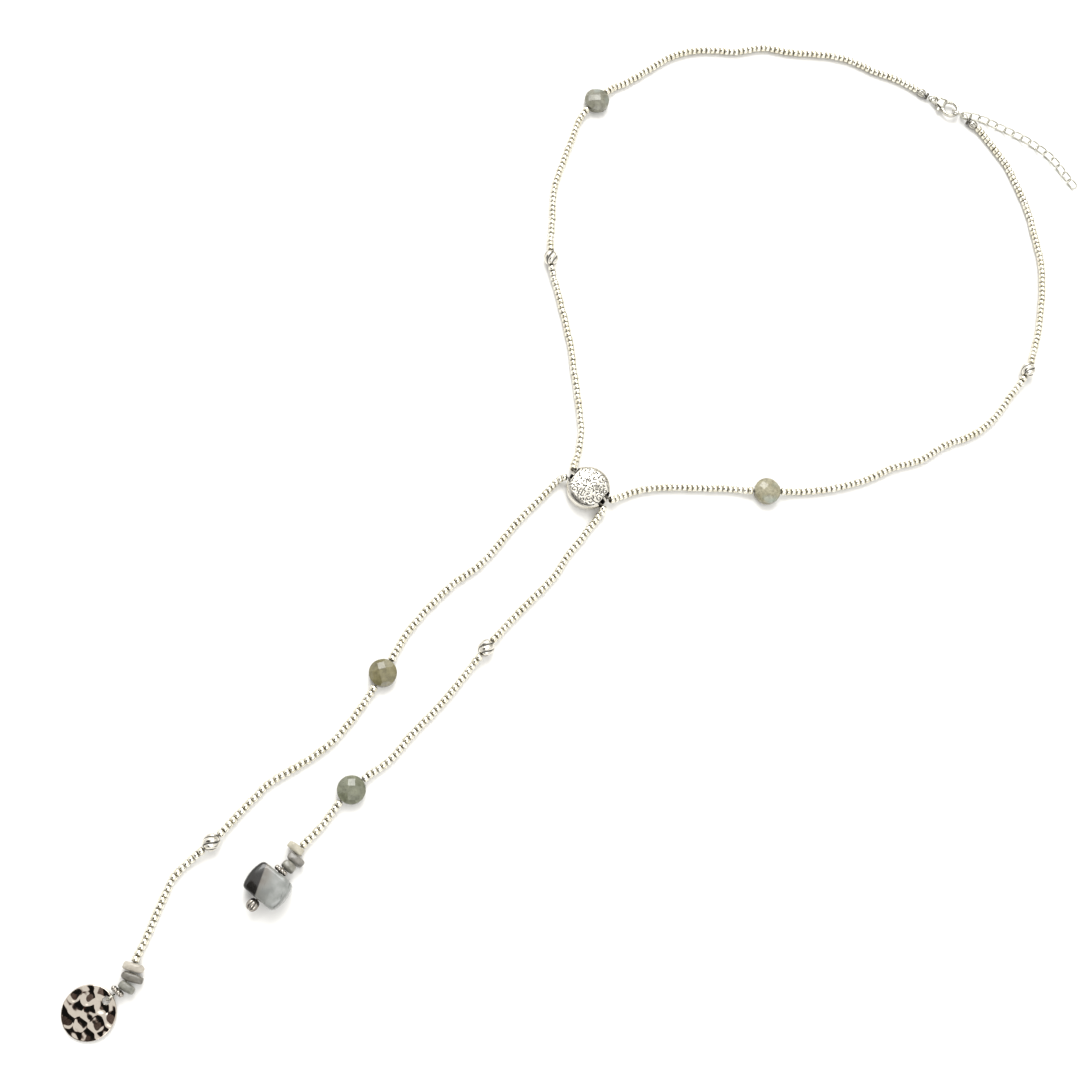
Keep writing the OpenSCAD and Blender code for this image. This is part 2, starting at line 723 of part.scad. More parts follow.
module teardrop_outline() {
    union() {
        circle(d = hook_d, $fn = 96);
        polygon([
            let (a = acos((hook_d - eye_d) / 2 / eye_reach)) each [
                hook_d / 2 * [-cos(a), sin(a)],
                [-eye_reach, 0] + eye_d / 2 * [-cos(a), sin(a)],
                [-eye_reach, 0] + eye_d / 2 * [-cos(a), -sin(a)],
                hook_d / 2 * [-cos(a), -sin(a)]
            ]
        ]);
        translate([-eye_reach, 0]) circle(d = eye_d, $fn = 48);
    }
}

module clasp_outline() {
    difference() {
        teardrop_outline();
        circle(r = hook_inner_r, $fn = 96);
        translate([-eye_reach, 0]) circle(d = eye_hole_d, $fn = 32);
    }
}

// What the lever's gate fills: the hook's bar on one side, up to the seam about the pin
module gate_zone(clearance) {
    intersection() {
        translate(pin_at) circle(r = seam_r - clearance, $fn = 96);
        translate([pin_at.x + housing_front, hook_bar_w / 2]) square([hook_d, hook_d]);
    }
}

module slot_outline() {
    union() {
        translate(pin_at) circle(r = boss_r + lever_clearance, $fn = 48);
        translate([pin_at.x - boss_r - lever_clearance, 0])
            square([2 * boss_r + 3 * lever_clearance, hook_d]);
        polygon([
            pin_at + [-boss_r - lever_clearance, 0],
            pin_at + [-tab_reach - tab_w, -hook_d],
            pin_at + [boss_r + 2 * tab_lean, -hook_d],
            pin_at + [boss_r + lever_clearance, 0]
        ]);
    }
}

module clasp_body() {
    color("#d4d1c8") clasp_axes() {
        difference() {
            union() {
                linear_extrude(hook_bar_h, center = true) difference() {
                    clasp_outline();
                    gate_zone(0);
                }
                linear_extrude(housing_h, center = true) intersection() {
                    difference() {
                        teardrop_outline();
                        circle(r = hook_inner_r, $fn = 96);
                    }
                    translate([pin_at.x - housing_back, -hook_d])
                        square([housing_back + housing_front, 2 * hook_d]);
                }
            }
            linear_extrude(lever_t + 2 * lever_clearance, center = true) slot_outline();
        }
        translate(pin_at) cylinder(d = pin_d, h = housing_h, center = true, $fn = 32);
    }
}

// The lever's gate: an arc of the hook's ring, from a place along X to the seam
module gate_outline(from) {
    intersection() {
        difference() {
            circle(d = hook_d, $fn = 96);
            circle(r = hook_inner_r, $fn = 96);
        }
        translate([from, 0]) square([hook_d, hook_d]);
        translate(pin_at) circle(r = seam_r - lever_clearance, $fn = 96);
    }
}

module clasp_lever() {
    color("#c6c2b8") clasp_axes() difference() {
        union() {
            linear_extrude(lever_t, center = true) union() {
                translate(pin_at) circle(r = boss_r, $fn = 48);
                gate_outline(pin_at.x - boss_r);
                polygon([
                    pin_at + [-boss_r, 0],
                    pin_at + [tab_lean - tab_w, tab_w / 3 - tab_reach],
                    pin_at + [tab_lean, -tab_reach],
                    pin_at + [boss_r, 0]
                ]);
            }
            linear_extrude(hook_bar_h, center = true)
                gate_outline(pin_at.x + housing_front + 2 * lever_clearance);
        }
        translate(pin_at)
            cylinder(d = pin_d + 2 * pin_clearance, h = 2 * lever_t, center = true, $fn = 32);
    }
}

// End loops stand upright: each is placed by its middle, its height and its turn
module end_loop(p, z, turn, inner_l) {
    color("#8f8b80") translate([p.x, p.y, z]) rotate([0, 0, turn]) rotate([90, 0, 0])
        oval(inner_l, loop_inner_w, loop_wire_d, 12, 6);
}

eye_at = hook_at + turned([-eye_reach * cos(clasp_pitch), 0], clasp_turn);
left_tip = xy(neck, 0);

module clasp_loop() {
    way = eye_at - left_tip;
    turn = atan2(way.y, way.x);
    // The loop's far bend is centred on the rim of the eye
    inner_l = norm(way) - (eye_d + eye_hole_d) / 4 + loop_inner_w / 2 - loop_wire_d;
    end_loop(left_tip + turned([loop_wire_d + inner_l / 2, 0], turn), eye_z, turn, inner_l);
}

// Jump ring: through the hook's nose at one end and the neck string's end loop at the other
ring_way = 20;
ring_reach = 1.1;
ring_at = hook_at + turned([hook_inner_r - ring_reach - ring_wire_d / 2 + ring_r, 0], ring_way);

module jump_ring() {
    color("#cfccc3") translate([ring_at.x, ring_at.y, ring_z])
        rotate([0, 0, ring_way]) rotate([ring_roll, 0, 0])
            rotate_extrude($fn = 64) translate([ring_r, 0]) circle(d = ring_wire_d, $fn = 24);
}

// A point on the ring's wire, at an angle from the end that is farthest from the clasp
function on_ring(a) =
    let (p = ring_at + turned([ring_r * cos(a), ring_r * sin(a) * cos(ring_roll)], ring_way))
    [p.x, p.y, ring_z + ring_r * sin(a) * sin(ring_roll)];

right_tip = xy(neck, neck_end);
loop_grip = on_ring(-12);

module ring_loop() {
    way = right_tip - flat(loop_grip);
    turn = atan2(way.y, way.x);
    inner_l = norm(way) + ring_wire_d / 2 + loop_gap - loop_wire_d;
    end_loop(flat(loop_grip) + turned([inner_l / 2 - ring_wire_d / 2 - loop_gap, 0], turn),
        loop_grip.z, turn, inner_l);
}

// Extender chain: chosen points of its route, and the rolls of its even and odd links
grip_turn = 29;
chain_grip = on_ring(grip_turn);
chain_route = [
    [chain_grip.x, chain_grip.y, ""], [7.2, 243.5, ""], [15, 247, ""], [22, 250, ""],
    [29, 252.5, ""], [37, 254, ""], [42, 254, ""], [48, 253, ""], [55, 252, ""], [62, 252, ""]
];
chain = measured(chain_route);
// Play between two links
link_gap = 0.1;
link_pitch = link_inner_l - link_gap;
link_rolls = [69, 9];
link_z = (link_inner_w + link_wire_d) / 2 * sin(max(link_rolls)) + link_wire_d / 2;
// The first link starts behind the ring's wire
chain_back = ring_wire_d / 2 + 2 * link_gap;

module extender_chain() {
    color("#d9d6cd") for (n = [0:link_count - 1]) {
        middle = (n + 0.5) * link_pitch - chain_back;
        m = xy(chain, middle);
        d = xy(chain, middle + link_wire_d) - xy(chain, middle - link_wire_d);
        translate([m.x, m.y, link_z])
            rotate([0, 0, atan2(d.y, d.x)]) rotate([link_rolls[n % 2], 0, 0])
                oval(link_inner_l, link_inner_w, link_wire_d, 16, 6);
    }
}

strand(neck, neck_rises, neck_strands[0]);  // neck_left_beads_1
strand(neck, neck_rises, neck_strands[1]);  // neck_left_beads_2
strand(neck, neck_rises, neck_strands[2]);  // neck_left_beads_3
strand(neck, neck_rises, neck_strands[3]);  // neck_right_beads_3
strand(neck, neck_rises, neck_strands[4]);  // neck_right_beads_2
strand(neck, neck_rises, neck_strands[5]);  // neck_right_beads_1
strand(drop, drop_rises, drop_strands[0]);  // drop_left_beads_3
strand(drop, drop_rises, drop_strands[1]);  // drop_left_beads_2
strand(drop, drop_rises, drop_strands[2]);  // drop_left_beads_1
strand(drop, drop_rises, drop_strands[3]);  // drop_right_beads_1
strand(drop, drop_rises, drop_strands[4]);  // drop_right_beads_2
strand(drop, drop_rises, drop_strands[5]);  // drop_right_beads_3
neck_thread();
drop_thread();
neck_coin_bead(0);  // coin_neck_left
neck_coin_bead(1);  // coin_neck_right
drop_coin_bead(0);  // coin_drop_left
drop_coin_bead(1);  // coin_drop_right
neck_swirl_bead(0);  // swirl_neck_left
neck_swirl_bead(1);  // swirl_neck_right
drop_swirl_bead(0);  // swirl_drop_left
drop_swirl_bead(1);  // swirl_drop_right
slider_disc();
chip_left(0);  // chip_left_1
chip_left(1);  // chip_left_2
chip_left(2);  // chip_left_3
chip_right(0);  // chip_right_1
chip_right(1);  // chip_right_2
chip_right(2);  // chip_right_3
spacer(drop_stack[0] - stack_middle(left_stack, 3));  // spacer_left
spacer(drop_stack[1] + stack_middle(right_stack, 3));  // spacer_right
pillow_bead();
end_bead();
hammered_disc();
pendant_loop();
collar_bead(stack_middle(collar_stack, 1));  // collar_bead_left
crimp(stack_middle(collar_stack, 0));  // crimp_left
clasp_loop();
clasp_body();
clasp_lever();
jump_ring();
ring_loop();
crimp(neck_end - stack_middle(collar_stack, 0));  // crimp_right
collar_bead(neck_end - stack_middle(collar_stack, 1));  // collar_bead_right
extender_chain();
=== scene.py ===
# %% [markdown]
# # A lariat necklace in Blender
#
# The necklace lies flat on a pale surface. One string makes the neck loop, a second string makes the two drops, and
# both pass through a domed slider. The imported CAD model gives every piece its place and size, in metres. Here each
# plain solid is replaced with a piece that has the real one's detail: seed beads in place of a tube, facets on the
# stones, twisted lobes on the silver beads, scrolls on the slider and hammer dents on the pendant.

import bmesh
import bpy
import numpy as np
from mathutils import Matrix


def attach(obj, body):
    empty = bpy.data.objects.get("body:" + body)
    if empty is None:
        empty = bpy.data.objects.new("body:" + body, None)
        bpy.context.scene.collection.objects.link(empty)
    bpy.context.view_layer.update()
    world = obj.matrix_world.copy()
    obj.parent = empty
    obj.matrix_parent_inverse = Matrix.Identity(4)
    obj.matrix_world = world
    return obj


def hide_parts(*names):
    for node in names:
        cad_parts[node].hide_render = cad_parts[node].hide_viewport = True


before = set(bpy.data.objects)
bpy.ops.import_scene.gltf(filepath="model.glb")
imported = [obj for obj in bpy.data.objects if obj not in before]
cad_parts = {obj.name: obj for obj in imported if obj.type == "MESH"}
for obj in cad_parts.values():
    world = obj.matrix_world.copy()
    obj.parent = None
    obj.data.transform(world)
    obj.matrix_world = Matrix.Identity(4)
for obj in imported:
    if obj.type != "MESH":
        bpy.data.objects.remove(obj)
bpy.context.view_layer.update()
MM = 0.001

# %% [markdown]
# ## Camera
#
# The picture was taken from above at about 62 degrees, half a metre over the surface. A camera's matrix has its
# right, up and backward directions as columns, so three measured vectors place it exactly, with no constraint to
# solve. A 50 mm lens on a 36 mm sensor gives the same wide angle in a square frame.

# %% The camera
right = np.array([0.6648, 0.7383, 0.1140])
down = np.array([0.7328, -0.6148, -0.2916])
forward = np.cross(right, down)
forward /= np.linalg.norm(forward)
right /= np.linalg.norm(right)
down = np.cross(forward, right)
camera_data = bpy.data.cameras.new("camera")
camera_data.lens = 50
camera_data.sensor_width = 36
camera_data.clip_start = 0.01
camera = bpy.data.objects.new("camera", camera_data)
camera.matrix_world = Matrix.Translation((0.10595, -0.17874, 0.530)) @ Matrix(
    np.stack([right, -down, -forward], 1).tolist()
).to_4x4()
bpy.context.scene.collection.objects.link(camera)
bpy.context.scene.camera = camera
print("camera looks along", np.round(forward, 3))

# %% [markdown]
# ## From arrays to meshes
#
# Every new piece is a grid of points worked out in one go as a numpy array. A small set of helpers turns a grid into
# quads, checks by its volume that the faces look outwards, and puts it into a mesh with foreach_set, which is far
# faster than adding points one by one.

# %% Grids, meshes and places
def grid_faces(rows, cols, close_rows=False, close_cols=True):
    """Quads of a rows by cols grid. Each joins a point, the next down, the one down and across, and the next across."""
    i = np.arange(rows if close_rows else rows - 1)[:, None]
    j = np.arange(cols if close_cols else cols - 1)[None, :]
    i2, j2 = (i + 1) % rows, (j + 1) % cols
    return np.stack([i * cols + j, i2 * cols + j, i2 * cols + j2, i * cols + j2], -1).reshape(-1, 4)


def outward(points, faces):
    """Six times the volume inside the quads: the sum of corner . (corner x corner). It is negative if they look in."""
    a, b, c, d = (points[faces[:, k]] for k in range(4))
    return np.einsum("ij,ij->", a, np.cross(b, c) + np.cross(c, d))


def shown(name, mesh, material):
    """An object at the origin that holds the mesh, linked into the scene."""
    mesh.materials.append(material)
    piece = bpy.data.objects.new(name, mesh)
    bpy.context.scene.collection.objects.link(piece)
    return piece


def make_piece(name, points, faces, material, merge=False, **attributes):
    """Puts points in mm and quads into an object at the origin, in metres, with a value at each point per attribute."""
    points = points.reshape(-1, 3)
    if outward(points, faces) < 0:
        faces = faces[:, ::-1]
    mesh = bpy.data.meshes.new(name)
    mesh.vertices.add(len(points))
    mesh.vertices.foreach_set("co", (points * MM).astype(np.float32).ravel())
    mesh.loops.add(faces.size)
    mesh.loops.foreach_set("vertex_index", faces.astype(np.int32).ravel())
    mesh.polygons.add(len(faces))
    mesh.polygons.foreach_set("loop_start", np.arange(0, faces.size, 4, dtype=np.int32))
    mesh.update(calc_edges=True)
    for key, values in attributes.items():
        layer = mesh.attributes.new(key, "FLOAT", "POINT")
        layer.data.foreach_set("value", np.broadcast_to(values, len(points)).astype(np.float32))
    if merge:
        bm = bmesh.new()
        bm.from_mesh(mesh)
        bmesh.ops.remove_doubles(bm, verts=bm.verts, dist=1e-7)
        bmesh.ops.dissolve_degenerate(bm, edges=bm.edges, dist=1e-8)
        bm.to_mesh(mesh)
        bm.free()
    mesh.polygons.foreach_set("use_smooth", np.ones(len(mesh.polygons), bool))
    return shown(name, mesh, material)


def dress(piece, slot, *nodes, body="necklace"):
    """The piece rides on a body and stands for its CAD nodes, which are hidden. The slot argument is not used."""
    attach(piece, body)
    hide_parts(*nodes)


def take_out(piece, cutter, own_overlaps=False):
    """Cuts the cutter's shape out of the piece once and for all, and deletes the cutter. A piece made of shells that
    run into each other needs own_overlaps, which makes them one solid first."""
    cut = piece.modifiers.new("cut", "BOOLEAN")
    cut.operation, cut.solver, cut.object, cut.use_self = "DIFFERENCE", "EXACT", cutter, own_overlaps
    whole = piece.evaluated_get(bpy.context.evaluated_depsgraph_get())
    mesh = bpy.data.meshes.new_from_object(whole)
    piece.modifiers.clear()
    piece.data = mesh
    bpy.data.objects.remove(cutter)
    return piece


def unit(v):
    """A vector, or each row of an array, divided by its length."""
    return v / np.linalg.norm(v, axis=-1, keepdims=True)


def turned(v, degrees):
    """A point of the plane turned about the origin: (x cos - y sin, x sin + y cos)."""
    c, s = np.cos(np.radians(degrees)), np.sin(np.radians(degrees))
    return np.array([v[0] * c - v[1] * s, v[0] * s + v[1] * c])


def turn(axis, degrees):
    """The matrix, for row vectors, that turns points about the X, Y or Z axis by the right-hand rule."""
    return np.array(Matrix.Rotation(np.radians(degrees), 3, axis)).T


print("helpers ready")

# %% [markdown]
# ## The two strings
#
# A string's route is a few chosen points, read off the picture. A Catmull-Rom curve passes through all of them, and
# adding up its short steps gives a length to every point, so a bead can be put so many millimetres along. Where a
# string passes through a taller piece it rises to that piece's middle along half a cosine wave.

# %% Routes and sizes in mm
bead_d, bead_l = 3.0, 2.0
coin_d, coin_t, swirl_d, strand_gap, string_gap = 10.0, 5.0, 6.0, 0.35, 0.25
slider_d, slider_t, relief_h, channel_pitch = 16.5, 6.0, 0.35, 3.7
slider_at, slider_turn, slider_z, slider_gap = np.array([22, 2.7]), 9, 6.0 / 2 + 0.35, 1.0
chip_l, chip_h, spacer_d, spacer_t = 2.9, 4.6, 5.2, 1.7
pillow_l, pillow_w, pillow_h, end_bead_d = 11.0, 15.0, 9.0, 4.2
collar_bead_d, crimp_d, crimp_l, bore_r, rise = 3.4, 2.8, 1.2, 0.6, 7.0
channel_half = np.sqrt((slider_d / 2) ** 2 - (channel_pitch / 2) ** 2)


def mouth(end, side):
    """Where a channel of the slider opens, and its mark."""
    return *(slider_at + turned([end * channel_half, side * channel_pitch / 2], slider_turn)), "mouth"


NECK = [
    (-14, 233, "end"), (-27, 229), (-38, 223), (-49, 218), (-58, 210), (-66, 201), (-75, 193), (-81, 182), (-89, 173),
    (-95, 162), (-97, 150), (-98, 138), (-100, 127), (-99, 119, "coin"), (-98, 109), (-93, 100), (-87, 89), (-80, 78),
    (-71, 69), (-58, 56, "swirl"), (-46, 49), (-35, 43), (-25, 37), (-15, 30), (-5, 23), (4, 16), (10.2, 7.6),
    (12, 4.4), mouth(-1, 1), mouth(1, 1), (31.2, 6.8), (32, 10), (35, 18), (41, 27), (48, 35), (56, 44),
    (67, 55, "coin"), (78, 69), (84, 79), (89, 90), (92, 101), (97, 112), (99, 124), (103, 135), (104, 147),
    (102, 159), (99, 173, "swirl"), (92, 187), (85, 197), (78, 206), (70, 214), (60, 221), (51, 227), (40, 232),
    (30, 236), (19, 238), (10, 239), (4, 238, "end"),
]
DROP = [
    (51, -237.8, "end"), (49.9, -231.7), (47, -226, "stack"), (42, -216), (37, -207), (33, -197), (33, -183, "swirl"),
    (31, -168), (30, -155), (32, -143), (33, -131), (31, -118), (26, -101, "coin"), (20, -84), (18, -72), (17, -60),
    (18, -48), (16, -35), (14, -23), (13, -11), (12, -4), (12.9, -1.3), mouth(-1, -1), mouth(1, -1), (31.9, 1.3),
    (34, -8), (36, -19), (39, -30), (40, -41), (41, -52), (43, -67, "swirl"), (46, -82), (48, -94), (49, -106),
    (51, -119), (50, -136, "coin"), (53, -151), (54, -161, "stack"), (56.5, -175), (59, -189, "end"),
]
print("chosen points:", len(NECK), "on the neck string,", len(DROP), "on the drop string")

# %% Lengths and heights along a string
def measured(route, steps=8):
    """Catmull-Rom curve: 0.5 (2b + (c-a)t + (2a-5b+4c-d)t2 + (3b-a-3c+d)t3) between b and c, and lengths along it."""
    p = np.array([q[:2] for q in route], float)
    n = len(p)
    i = np.arange(n - 1)
    a, b, c, d = (p[k][:, None] for k in (np.maximum(i - 1, 0), i, i + 1, np.minimum(i + 2, n - 1)))
    t = (np.arange(steps) / steps)[None, :, None]
    xy = 0.5 * (2 * b + (c - a) * t + (2 * a - 5 * b + 4 * c - d) * t**2 + (3 * b - a - 3 * c + d) * t**3)
    xy = np.vstack([xy.reshape(-1, 2), p[-1:]])
    s = np.concatenate([[0], np.cumsum(np.linalg.norm(np.diff(xy, axis=0), axis=1))])
    kinds = ("mouth", "coin", "swirl", "stack")
    marks = {w: [s[k * steps] for k, q in enumerate(route) if q[2:] == (w,)] for w in kinds}
    return {"s": s, "xy": xy, "length": s[-1], "rises": [], **marks}


def stack_middles(stack):
    """Middles of pieces threaded one after the other with a gap before each, from the stack's start."""
    return np.cumsum(stack) - np.array(stack) / 2 + string_gap * (1 + np.arange(len(stack)))


def on_string(string, s):
    """Points at lengths s: x and y from the curve, z lifted to each tall piece by (1 + cos) / 2 over the rise."""
    s = np.atleast_1d(np.asarray(s, float))
    middle, half, top = np.array(string["rises"]).T[..., None]
    away = np.clip((np.abs(s - middle) - half) / rise, 0, 1)
    lift = ((top - bead_d / 2) * (1 + np.cos(np.pi * away)) / 2).max(0)
    x, y = (np.interp(s, string["s"], string["xy"][:, k]) for k in (0, 1))
    return np.stack([x, y, bead_d / 2 + np.maximum(lift, 0)], -1)


def axes_at(string, s, half):
    """Origin and rows X, Y, Z of a piece at a length: X along the string, Y level, Z = X x Y."""
    a, b = on_string(string, s - half), on_string(string, s + half)
    x = unit(b - a)
    y = unit(np.cross([0, 0, 1], x))
    return (a + b) / 2, np.stack([x, y, np.cross(x, y)], -2)


def threaded(points, string, s, half):
    """A piece's own points moved to its place on a string: origin + x X + y Y + z Z."""
    origin, axes = axes_at(string, s, half)
    return origin[0] + points @ axes[0]


def four(kind):
    """Name, string and length of the four coins or swirl beads."""
    return [
        (f"{name}_{side}", string, string[kind][k])
        for name, string in (("neck", neck), ("drop", drop)) for k, side in enumerate(("left", "right"))
    ]


neck, drop = measured(NECK), measured(DROP)
collars = [crimp_l, collar_bead_d]
left_stack = [chip_l, chip_l, chip_l, spacer_t]
right_stack = [chip_l, chip_l, chip_l, spacer_t, pillow_l, end_bead_d]
collar_at, left_at, right_at = (stack_middles(v) for v in (collars, left_stack, right_stack))
collar_length = sum(collars) + 3 * string_gap
for m, l in zip(collar_at, collars):
    neck["rises"] += [(m, l / 2, collar_bead_d / 2), (neck["length"] - m, l / 2, collar_bead_d / 2)]
for m, l, h in zip(left_at, left_stack, [chip_h] * 3 + [spacer_d]):
    drop["rises"].append((drop["stack"][0] - m, l / 2, h / 2))
for m, l, h in zip(right_at, right_stack, [chip_h] * 3 + [pillow_h] * 3):
    drop["rises"].append((drop["stack"][1] + m, l / 2, h / 2))
for string in (neck, drop):
    string["rises"] += [(s, coin_d / 2, coin_t / 2) for s in string["coin"]]
    string["rises"] += [(s, swirl_d / 2, swirl_d / 2) for s in string["swirl"]]
    string["rises"].append((sum(string["mouth"]) / 2, channel_half, slider_z))
print("neck string mm:", round(neck["length"], 1), "drop string mm:", round(drop["length"], 1))

# %% [markdown]
# ## Materials
#
# Metals, glass and stone are all one Principled shader here, with different numbers. Colours are written as sRGB hex
# values, as a paint program shows them, and one function turns them to the linear values that light needs. A
# single helper adds a shader node with its settings and links.

# %% Colour and shader helpers
def linear(code):
    """sRGB hex to linear RGBA: below 0.04045 divide by 12.92, above it ((c + 0.055) / 1.055) to the power 2.4."""
    c = np.array([int(code[k : k + 2], 16) for k in (1, 3, 5)]) / 255
    return (*np.where(c <= 0.04045, c / 12.92, ((c + 0.055) / 1.055) ** 2.4).tolist(), 1.0)


def node(tree, kind, sockets=None, **settings):
    """Adds a node: settings go on the node, and each socket gets a value or a link from another node's output."""
    made = tree.nodes.new("ShaderNode" + kind)
    for key, value in settings.items():
        setattr(made, key, value)
    for key, value in (sockets or {}).items():
        if isinstance(value, bpy.types.NodeSocket):
            tree.links.new(value, made.inputs[key])
        else:
            made.inputs[key].default_value = value
    return made


def material(name, **sockets):
    """A new material with one Principled shader, and its tree, shader and Object coordinates."""
    made = bpy.data.materials.new(name)
    made.use_nodes = True
    tree = made.node_tree
    shader = tree.nodes["Principled BSDF"]
    for key, value in sockets.items():
        shader.inputs[key.replace("_", " ")].default_value = value
    return made, tree, shader, node(tree, "TexCoord").outputs["Object"]


print("white #ffffff is", linear("#ffffff")[:3])

# %% [markdown]
# ## Finishes of the metal pieces
#
# The seed beads are glass with a galvanised silver coat: a mirror with a warm cream tint, a little duller and browner
# where each bead meets the next, which is painted shade between the beads. The cast pieces are silver plate, polished
# on the high parts and left black in the recesses. The pendant and the spacers are gunmetal, a dark nickel plate.

# %% Galvanised glass, polished and oxidised silver, gunmetal
def coated_glass():
    """Galvanised seed beads: the coat's tint changes from bead to bead, and a painted brown shade darkens each bead's
    two ends, where it meets the next.
    """
    made, tree, shader, place = material("galvanised_glass_beads", Metallic=1.0, Roughness=0.15)
    tone = node(tree, "Attribute", attribute_name="tone").outputs["Fac"]
    seam = node(tree, "Attribute", attribute_name="seam").outputs["Fac"]
    tint = node(tree, "Mix", {0: tone, 6: linear("#eeebdf"), 7: linear("#dbd5c0")}, data_type="RGBA").outputs[2]
    # Painted shade: brown towards each bead's two ends, where the beads meet.
    gap_shaded = node(tree, "Mix", {0: seam, 6: tint, 7: linear("#6e6245")}, data_type="RGBA").outputs[2]
    # Pits in the coat are about 0.4 mm apart, as coarse as they need to be to show.
    pits = node(tree, "TexNoise", {"Vector": place, "Scale": 2400.0, "Detail": 2.0}).outputs["Fac"]
    bump = node(tree, "Bump", {"Height": pits, "Strength": 0.12, "Distance": 0.0002}).outputs["Normal"]
    tree.links.new(gap_shaded, shader.inputs["Base Color"])
    tree.links.new(bump, shader.inputs["Normal"])
    return made


def plated(name, bright, dark, rough, scratch=0.06):
    """Plate over a casting: bright on top, dark and dull where the piece's own depth attribute nears one."""
    made, tree, shader, place = material(name, Metallic=1.0)
    depth = node(tree, "Attribute", attribute_name="depth").outputs["Fac"]
    # Fine handling marks, 1 mm long and faint.
    marks = node(tree, "TexNoise", {"Vector": place, "Scale": 900.0, "Detail": 3.0}).outputs["Fac"]
    marked = node(tree, "MapRange", {"Value": marks, "To Min": rough - scratch, "To Max": rough + scratch}).outputs[0]
    dull = node(tree, "MapRange", {"Value": depth, "To Min": 0.0, "To Max": 0.45}).outputs[0]
    total = node(tree, "Math", {0: marked, 1: dull}, operation="ADD").outputs[0]
    shade = node(tree, "Mix", {0: depth, 6: linear(bright), 7: linear(dark)}, data_type="RGBA").outputs[2]
    tree.links.new(shade, shader.inputs["Base Color"])
    tree.links.new(total, shader.inputs["Roughness"])
    return made


BEADS = coated_glass()
SILVER = plated("polished_silver_plate", "#bfbcb2", "#3a3733", 0.12)
CAST = plated("oxidised_cast_silver", "#dcd8ce", "#0c0b09", 0.2)
GUNMETAL = plated("gunmetal_plate", "#b9b0a5", "#1d1a18", 0.09, 0.03)
SPACER = plated("dark_nickel_spacer", "#a39d95", "#120e0b", 0.14)
CRIMP = plated("blackened_crimp", "#55524c", "#1a1815", 0.3)
WIRE = plated("silver_wire", "#c0beb3", "#5a564e", 0.12)
THREAD = plated("waxed_thread", "#6f6a5e", "#2c2924", 0.45)
THREAD.node_tree.nodes["Principled BSDF"].inputs["Metallic"].default_value = 0.0
print("metal finishes:", BEADS.name, SILVER.name, CAST.name, GUNMETAL.name)

# %% [markdown]
# ## Finishes of the stones
#
# Labradorite is a grey-green feldspar, cloudy inside, with dark specks and now and then a blue-green flash, a sheen
# of the light that is painted here as a patch of colour. Tumbled chips of quartz and cloudy labradorite let a little
# light through, which a touch of subsurface scattering gives. The big pillow bead is clear to milky quartz with a
# smoky third and fine black tourmaline needles.

# %% Labradorite, tumbled quartz and needle quartz
def cloudy_stone(name, pale, body, dark, rough, cloud_mm, speck, painted_sheen=None):
    """Clouds of two tones a few mm across, dark specks, and a painted sheen where one is given: a patch of that third
    colour for the flash.
    """
    made, tree, shader, place = material(name, Roughness=rough, IOR=1.55)
    clouds = node(tree, "TexNoise", {"Vector": place, "Scale": 1000 / cloud_mm, "Detail": 5.0, "Roughness": 0.62})
    cloud = node(tree, "MapRange", {"Value": clouds.outputs["Fac"], "From Min": 0.34, "From Max": 0.68}).outputs[0]
    grains = node(tree, "TexNoise", {"Vector": place, "Scale": 1400.0, "Detail": 3.0}).outputs["Fac"]
    specks = node(tree, "MapRange", {"Value": grains, "From Min": 0.72 - speck, "From Max": 0.80 - speck}).outputs[0]
    tint = node(tree, "Mix", {0: cloud, 6: linear(body), 7: linear(pale)}, data_type="RGBA").outputs[2]
    # Painted sheen: the stone's blue-green flash as a fixed patch of colour.
    if painted_sheen:
        wide = node(tree, "TexNoise", {"Vector": place, "Scale": 130.0, "Detail": 1.0}).outputs["Fac"]
        sheen_patch = node(tree, "MapRange", {"Value": wide, "From Min": 0.56, "From Max": 0.72, "To Max": 0.55}).outputs[0]
        tint = node(tree, "Mix", {0: sheen_patch, 6: tint, 7: linear(painted_sheen)}, data_type="RGBA").outputs[2]
    dotted = node(tree, "Mix", {0: specks, 6: tint, 7: linear(dark)}, data_type="RGBA").outputs[2]
    tree.links.new(dotted, shader.inputs["Base Color"])
    return made


def milky(made, weight, reach_mm):
    """Lets light a short way into a stone."""
    shader = made.node_tree.nodes["Principled BSDF"]
    shader.inputs["Subsurface Weight"].default_value = weight
    shader.inputs["Subsurface Radius"].default_value = (reach_mm, reach_mm, reach_mm)
    shader.inputs["Subsurface Scale"].default_value = MM
    return made


COINS = {
    "neck_left": cloudy_stone("labradorite_grey", "#7f7e70", "#626154", "#2b2b24", 0.2, 1.8, 0.08, "#74807c"),
    "neck_right": cloudy_stone("labradorite_pale", "#99947c", "#757059", "#3d3a2a", 0.2, 1.1, 0.10, "#7f8d88"),
    "drop_left": cloudy_stone("labradorite_olive", "#7c7657", "#5a553c", "#2b2717", 0.16, 2.6, 0.05),
    "drop_right": cloudy_stone("labradorite_green", "#757764", "#545646", "#23251d", 0.14, 2.2, 0.06),
}
CHIPS = [milky(cloudy_stone("tumbled_" + name, *look), weight, reach) for name, look, weight, reach in (
    ("quartz_pale", ("#b4aea2", "#968f84", "#6d6655", 0.3, 2.5, 0.0), 0.5, 1.2),
    ("labradorite_dark", ("#757168", "#55524b", "#302e29", 0.3, 1.8, 0.02), 0.25, 0.7),
    ("labradorite_green", ("#84837a", "#62625a", "#3e3e37", 0.3, 1.8, 0.02), 0.3, 0.8),
    ("quartz_cream", ("#bab5a4", "#9e998a", "#77725f", 0.3, 2.5, 0.0), 0.5, 1.2),
    ("labradorite_slate", ("#838079", "#605d58", "#32302d", 0.28, 1.8, 0.02), 0.25, 0.7),
    ("quartz_smoky", ("#8d8b81", "#6d6b63", "#45443c", 0.28, 1.6, 0.03), 0.35, 0.9),
)]
print("stones:", [m.name for m in COINS.values()], [m.name for m in CHIPS])

